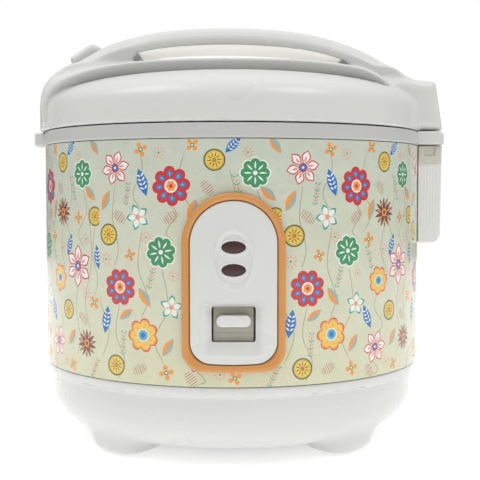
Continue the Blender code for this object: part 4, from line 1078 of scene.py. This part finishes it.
def make_lid_inside():
    """The liner, the removable inner lid with its steam holes, the seal and the knob."""
    liner = rounded([
        (0.0, 190.6), (70.0, 190.6), (72.0, 191.0, 0.8), (104.0, 191.0, 0.8), (106.0, 190.6, 0.8),
        (111.8, 190.6, 0.8), (111.8, 193.0, 0.5), (116.8, 193.0, 0.5), (116.8, 194.8, 0.5),
        (110.2, 194.8, 0.5), (110.2, 192.2, 0.5), (0.0, 192.2),
    ])
    hook = rectangle((-125.2, -9.0), (-111.7, 9.0))
    piece = turned("liner_skin", liner, ["lid_liner"])
    cut_away(piece, "liner_openings", [hook, circle((0.0, VENT_Y), 6.3)], 188.0, 197.0)
    inner = rounded([
        (3.4, 187.6), (30.0, 187.6, 1.0), (33.0, 188.1, 1.0), (50.0, 188.1, 1.0), (53.0, 187.6, 1.0),
        (88.0, 187.6, 1.0), (95.4, 188.4, 0.4), (95.4, 189.2, 0.4), (88.0, 188.5, 1.0), (53.0, 188.5, 1.0),
        (50.0, 188.9, 1.0), (33.0, 188.9, 1.0), (30.0, 188.5, 1.0), (3.4, 188.5),
    ])
    turns = [math.radians(72 * index + 5) for index in range(5)]
    holes = [circle((40 * math.cos(turn), 40 * math.sin(turn)), 2.2) for turn in turns]
    piece = turned("inner_lid_skin", inner, ["inner_lid"])
    cut_away(piece, "steam_holes", holes, 186.0, 191.0)
    seal = [
        (95.8, 187.4), (96.6, 186.9, 0.3), (101.4, 187.1, 0.4), (101.0, 188.4, 0.4), (101.4, 189.0, 0.3),
        (100.0, 190.2, 0.4), (95.8, 190.2),
    ]
    turned("seal_skin", rounded(seal), ["lid_seal"])
    knob = [
        (0.0, 184.8), (6.0, 184.8, 1.0), (8.5, 186.0, 1.0), (8.5, 187.2, 0.4), (3.0, 187.2, 0.4),
        (3.0, 190.2), (0.0, 190.2),
    ]

    def grips(angle, radius):
        return 0.25 * math.cos(16 * angle) if radius > 5.5 else 0.0

    turned("knob_skin", rounded(knob), ["inner_lid_knob"], steps=128, ribs=grips)


# --- panel -------------------------------------------------------------------------------------

def panel_distance(u, z, half, low, top):
    """Distance to a panel outline with a round top, rounded lower corners and a bowed lower edge."""
    middle = top - half
    upper = np.hypot(u, z - middle) - half
    bowed = low + 1.2 * (u / half) ** 2
    out = np.abs(u) - half + PANEL_CORNER
    down = bowed + PANEL_CORNER - z
    corner = np.hypot(np.maximum(out, 0.0), np.maximum(down, 0.0)) - PANEL_CORNER
    return np.where(z > middle, upper, corner + np.minimum(np.maximum(out, down), 0.0))


def frame_field(u, z, r):
    """The orange surround: a domed band with rounded rims."""
    outer = panel_distance(u, z, FRAME_HALF, FRAME_LOW, FRAME_TOP)
    inner = panel_distance(u, z, FACE_HALF + 0.35, FACE_LOW - 0.35, FACE_TOP + 0.35)
    band = np.maximum(outer, -inner)
    raised = r - FRAME_R + 0.10 * (outer + 2.2) ** 2
    return np.maximum(smooth_max(band, raised, 1.6), PANEL_R_IN - r)


def face_height(u, z):
    """Radius of the white face's outer surface, with its recesses and lips."""
    oval = oval_distance(u, z, OVAL_HALF, (0.0, OVAL_Z), 2.2)
    height = FACE_R - 0.9 * ease(-oval, -0.1, 1.1) + 0.35 * np.exp(-((oval - 0.5) / 0.45) ** 2)
    beside = (KEY_RECESS_HALF - np.abs(u)) / 3.7
    above_edge = (z - KEY_RECESS_LOW) / 6.0
    below_edge = (KEY_RECESS_TOP - z) / 1.6
    share = smooth_min(smooth_min(beside, above_edge, 0.9), below_edge, 0.9)
    height = height - 2.0 * ease(share, 0.0, 1.0) + 0.3 * np.exp(-((share + 0.14) / 0.14) ** 2)
    for lens_z in LENS_Z.values():
        lens = oval_distance(u, z, LENS_HALF, (0.0, lens_z))
        height = height + 0.3 * np.exp(-((lens - 0.9) / 0.5) ** 2)
    return height


def face_field(u, z, r):
    """The white face with the key window and the two lens holes."""
    face = smooth_max(panel_distance(u, z, FACE_HALF, FACE_LOW, FACE_TOP), r - face_height(u, z), 0.9)
    window = box_distance(u, z, KEY_WINDOW_HALF, (0.0, KEY_WINDOW_Z), 1.2)
    face = smooth_max(face, -window, 0.5)
    for lens_z in LENS_Z.values():
        lens = oval_distance(u, z, (LENS_HALF[0] + 0.25, LENS_HALF[1] + 0.25), (0.0, lens_z))
        face = smooth_max(face, -lens, 0.4)
    return np.maximum(face, PANEL_R_IN - r)


def lens_field(height):
    """One domed lens at a height."""
    def field(u, z, r):
        lens = oval_distance(u, z, LENS_HALF, (0.0, height))
        dome = r - 122.35 + 0.012 * (u * u + 2.0 * (z - height) ** 2)
        return smooth_max(np.maximum(lens, 119.6 - r), dome, 0.5)
    return field


def make_panel():
    low = (-FRAME_HALF - 1, FRAME_LOW - 1, PANEL_R_IN - 1)
    high = (FRAME_HALF + 1, FRAME_TOP + 1, FRAME_R + 1)
    skin("frame_skin", frame_field, low, high, 0.6, ["panel_frame"], wrap=wrap_front)
    skin("face_skin", face_field, low, high, 0.5, ["panel_face"], wrap=wrap_front)
    for name, z in LENS_Z.items():
        low, high = (-8, z - 5, 119), (8, z + 5, 123.5)
        skin(f"lens_{name}_skin", lens_field(z), low, high, 0.35, [f"lens_{name}"], wrap=wrap_front)


def key_bar_field(x, y, z):
    """The pill-shaped bar that a finger presses, dished on its front."""
    pill = box_distance(x, z, (9.3, 3.05), (0.0, 85.55), 3.0)
    front = -126.0 - y + 0.018 * (5.2 - np.minimum(np.abs(x), 5.2)) ** 2
    return np.maximum(smooth_max(pill, front, 1.6), y + 118.6)


def key_plate_field(x, y, z):
    """The plate behind the window, with shallow grooves across its lower half."""
    plate = box_distance(x, z, (11.2, 20.0), (0.0, 83.0), 1.2)
    groove = 0.25 * np.maximum(np.cos((z - 60.0) * math.pi / 1.6), 0.0) * (np.abs(z - 76.0) < 4.0)
    return np.maximum(smooth_max(plate, -118.3 - y + groove, 0.5), y + 117.0)


def make_key():
    skin("key_bar_skin", key_bar_field, (-11, -127.5, 81), (11, -117, 90), 0.4, ["key_bar"])
    skin("key_plate_skin", key_plate_field, (-12.5, -119.5, 61), (12.5, -116, 105), 0.5, ["key_plate"])


# --- side fittings -----------------------------------------------------------------------------

COLLECTOR_HALF = 26.7
COLLECTOR_LOW = 122.3
COLLECTOR_TOP = 183.9
COLLECTOR_WALL = 1.7
COLLECTOR_R_IN = 120.4
HINGE_PIN = (129.5, 189.3)
HINGE_PIN_R = 1.5

# Recesses in the dew cup's front: middle, half size and depth.
COLLECTOR_RECESSES = [
    ((124.6, 180.4), (3.5, 3.0), 0.95), ((122.8, 174.4), (5.4, 2.0), 0.4), ((115.2, 176.5), (0.8, 5.4), 0.95),
]


def cup_distance(x, y, z, inset, top):
    """Distance to the dew cup's outside, or to its hollow when inset by its wall."""
    out = HINGE_OUT - 0.45 - inset
    low = COLLECTOR_LOW + inset
    outline = rounded([
        (105.0, low), (out - 0.6, low, 6.5 - inset), (out, COLLECTOR_TOP), (out, top), (105.0, top),
    ])
    side = smooth_max(outline_distance(outline, x, z), np.abs(y) - COLLECTOR_HALF + inset, 1.6)
    return smooth_max(side, COLLECTOR_R_IN + inset - np.hypot(x, y), 0.4)


def collector_field(x, y, z):
    """The dew cup: a thin ribbed shell with a rounded lower corner, open above."""
    beads = 0.09 * np.cos(math.tau * x / 1.9) * ease(np.abs(y), 24.0, 25.5)
    beads = beads + 0.09 * np.cos(math.tau * y / 1.9) * ease(x, 129.5, 131.0)
    fade = ease(z, 130.0, 136.0) * (1 - ease(z, 174.5, 176.0))
    cup = cup_distance(x, y, z, 0.0, COLLECTOR_TOP) - beads * fade
    cup = smooth_max(cup, -cup_distance(x, y, z, COLLECTOR_WALL, 195.0), 0.3)
    for middle, half, depth in COLLECTOR_RECESSES:
        recess = np.maximum(box_distance(x, z, half, middle, 0.7), y + COLLECTOR_HALF - depth)
        cup = smooth_max(cup, -recess, 0.3)
    return cup


def bracket_field(x, y, z):
    """The hinge bracket on the ring, with the channel for the knuckles and its drain."""
    top = 192.8
    outline = rounded([(112.0, 184.3), (HINGE_OUT, 184.3, 0.8), (HINGE_OUT, top, 3.4), (112.0, top)])
    block = smooth_max(outline_distance(outline, x, z), np.abs(y) - HINGE_HALF, 1.6)
    block = np.maximum(block, RING_R - 0.5 - np.hypot(x, y))
    channel = np.maximum(np.maximum(125.5 - x, 185.5 - z), np.abs(y) - 24.3)
    drain = np.maximum(np.abs(x - 128.5) - 1.5, np.abs(y) - 16.0)
    block = smooth_max(smooth_max(block, -channel, 0.5), -drain, 0.3)
    pin = np.hypot(x - HINGE_PIN[0], z - HINGE_PIN[1]) - HINGE_PIN_R
    pin = np.maximum(pin, np.abs(y) - 28.8)
    return np.maximum(block, -pin)


def keeper_field(x, y, z):
    """The block on the ring that the latch closes on."""
    outline = rounded([
        (-127.0, 184.2, 0.9), (-127.0, 192.3, 1.6), (-112.0, 192.3), (-112.0, 183.8), (-126.6, 183.8),
    ])
    block = smooth_max(outline_distance(outline, x, z), np.abs(y) - 12.0, 1.6)
    block = np.maximum(block, RING_R - 0.5 - np.hypot(x, y))
    pocket = np.maximum(box_distance(x, z, (12.6, 1.7), (-112.6, 187.7)), np.abs(y) - 9.0)
    mouth = np.maximum(np.maximum(-121.2 - x, 189.0 - z), np.abs(y) - 9.0)
    return smooth_max(smooth_max(block, -pocket, 0.3), -mouth, 0.4)


def inlet_field(x, y, z):
    """The socket at the back, with a rounded rim and a chamfered opening."""
    block = np.maximum(box_distance(x, z, (15.0, 10.0), (0.0, 28.0), 2.0), np.maximum(99.0 - y, y - 115.4))
    flare = 0.8 * ease(y, 113.6, 115.4)
    hole = np.maximum(box_distance(x, z, (11.5, 7.0), (0.0, 28.0), 2.5) - flare, 102.0 - y)
    return smooth_max(block, -hole, 0.4)


def make_side_fittings():
    skin("collector_skin", collector_field, (108, -28, 120), (134, 28, 185.5), 0.62, ["dew_collector"])
    skin("bracket_skin", bracket_field, (108, -32, 183), (134.5, 32, 194.5), 0.7, ["hinge_bracket"])
    skin("keeper_skin", keeper_field, (-128.5, -14, 182.5), (-110, 14, 194), 0.6, ["latch_keeper"])
    skin("inlet_skin", inlet_field, (-16.5, 97.5, 16.5), (16.5, 117, 39.5), 0.6, ["power_inlet"])


def finish_kept_nodes():
    """Gives each CAD node that still shows its procedural material and soft edges."""
    for node in frame["nodes"].values():
        if node.hide_render:
            continue
        slot = node.data.materials[0].name.split(".")[0]
        node.data.materials[0] = FINISHES[slot]
        soften(node, 0.2)


# --- stage -------------------------------------------------------------------------------------

FLOOR_RADIUS = 1.6
FLOOR_GLOW = 0.4
SKY_LOW = 0.15
SKY_HIGH = 1.4
KEY_POWER = 2.0
FILL_POWER = 2.2

def make_floor():
    """A pale round floor."""
    bpy.ops.mesh.primitive_circle_add(vertices=96, radius=FLOOR_RADIUS, fill_type="NGON")
    floor = bpy.context.object
    floor.name = "floor"
    shader = Shader("studio_floor", 0.75)
    shader.colour(shader.noise(1.5, 2.0), (0.93, 0.93, 0.93), (0.96, 0.96, 0.955))
    shader.set("Emission Color", (1.0, 1.0, 1.0, 1.0))
    shader.set("Emission Strength", FLOOR_GLOW)
    floor.data.materials.append(shader.material)


def make_light(name, place_at, aim, size, power):
    data = bpy.data.lights.new(name, "AREA")
    data.shape = "RECTANGLE"
    data.size, data.size_y = size
    data.energy = power
    lamp = bpy.data.objects.new(name, data)
    lamp.location = place_at
    lamp.rotation_euler = (Vector(aim) - Vector(place_at)).to_track_quat("-Z", "Y").to_euler()
    bpy.context.scene.collection.objects.link(lamp)


def make_world():
    """A white studio, dimmer towards the horizon as light than as it is seen."""
    world = bpy.data.worlds.new("studio")
    world.use_nodes = True
    tree = world.node_tree
    background = tree.nodes["Background"]
    background.inputs["Color"].default_value = (1.0, 1.0, 1.0, 1.0)
    where = tree.nodes.new("ShaderNodeTexCoord")
    height = tree.nodes.new("ShaderNodeSeparateXYZ")
    light = tree.nodes.new("ShaderNodeMapRange")
    light.inputs["To Min"].default_value = SKY_LOW
    light.inputs["To Max"].default_value = SKY_HIGH
    seen = tree.nodes.new("ShaderNodeLightPath")
    strength = tree.nodes.new("ShaderNodeMath")
    strength.operation = "MAXIMUM"
    tree.links.new(where.outputs["Generated"], height.inputs["Vector"])
    tree.links.new(height.outputs["Z"], light.inputs["Value"])
    tree.links.new(light.outputs["Result"], strength.inputs[0])
    tree.links.new(seen.outputs["Is Camera Ray"], strength.inputs[1])
    tree.links.new(strength.outputs["Value"], background.inputs["Strength"])
    bpy.context.scene.world = world
    bpy.context.scene.view_settings.view_transform = "Standard"


def make_stage():
    """Floor, white surroundings, and a soft box high up on each side."""
    make_floor()
    make_world()
    make_light("key_softbox", (0.55, -0.45, 1.1), (0.0, 0.0, 0.12), (0.5, 0.5), KEY_POWER)
    make_light("fill_softbox", (-0.6, -0.15, 1.15), (0.0, 0.0, 0.15), (0.6, 0.6), FILL_POWER)


def make_camera():
    """The photograph's view: a little above the panel, looking slightly down."""
    distance = 0.6465
    height = 0.1562
    heading = 0.0081 + math.radians(0.4)
    pitch = 0.0516
    data = bpy.data.cameras.new("camera")
    data.sensor_width = 36.0
    data.lens = 73.6
    camera = bpy.data.objects.new("camera", data)
    camera.location = (AXIS.x - 0.0045, AXIS.y - distance, height)
    forward = Vector((
        math.sin(heading) * math.cos(pitch), math.cos(heading) * math.cos(pitch), -math.sin(pitch),
    ))
    camera.rotation_euler = forward.to_track_quat("-Z", "Y").to_euler()
    bpy.context.scene.collection.objects.link(camera)
    bpy.context.scene.camera = camera


make_finishes()
make_base()
make_shell()
make_ring_and_pot()
make_lid()
make_lid_inside()
make_panel()
make_key()
make_side_fittings()
finish_kept_nodes()
make_stage()
make_camera()
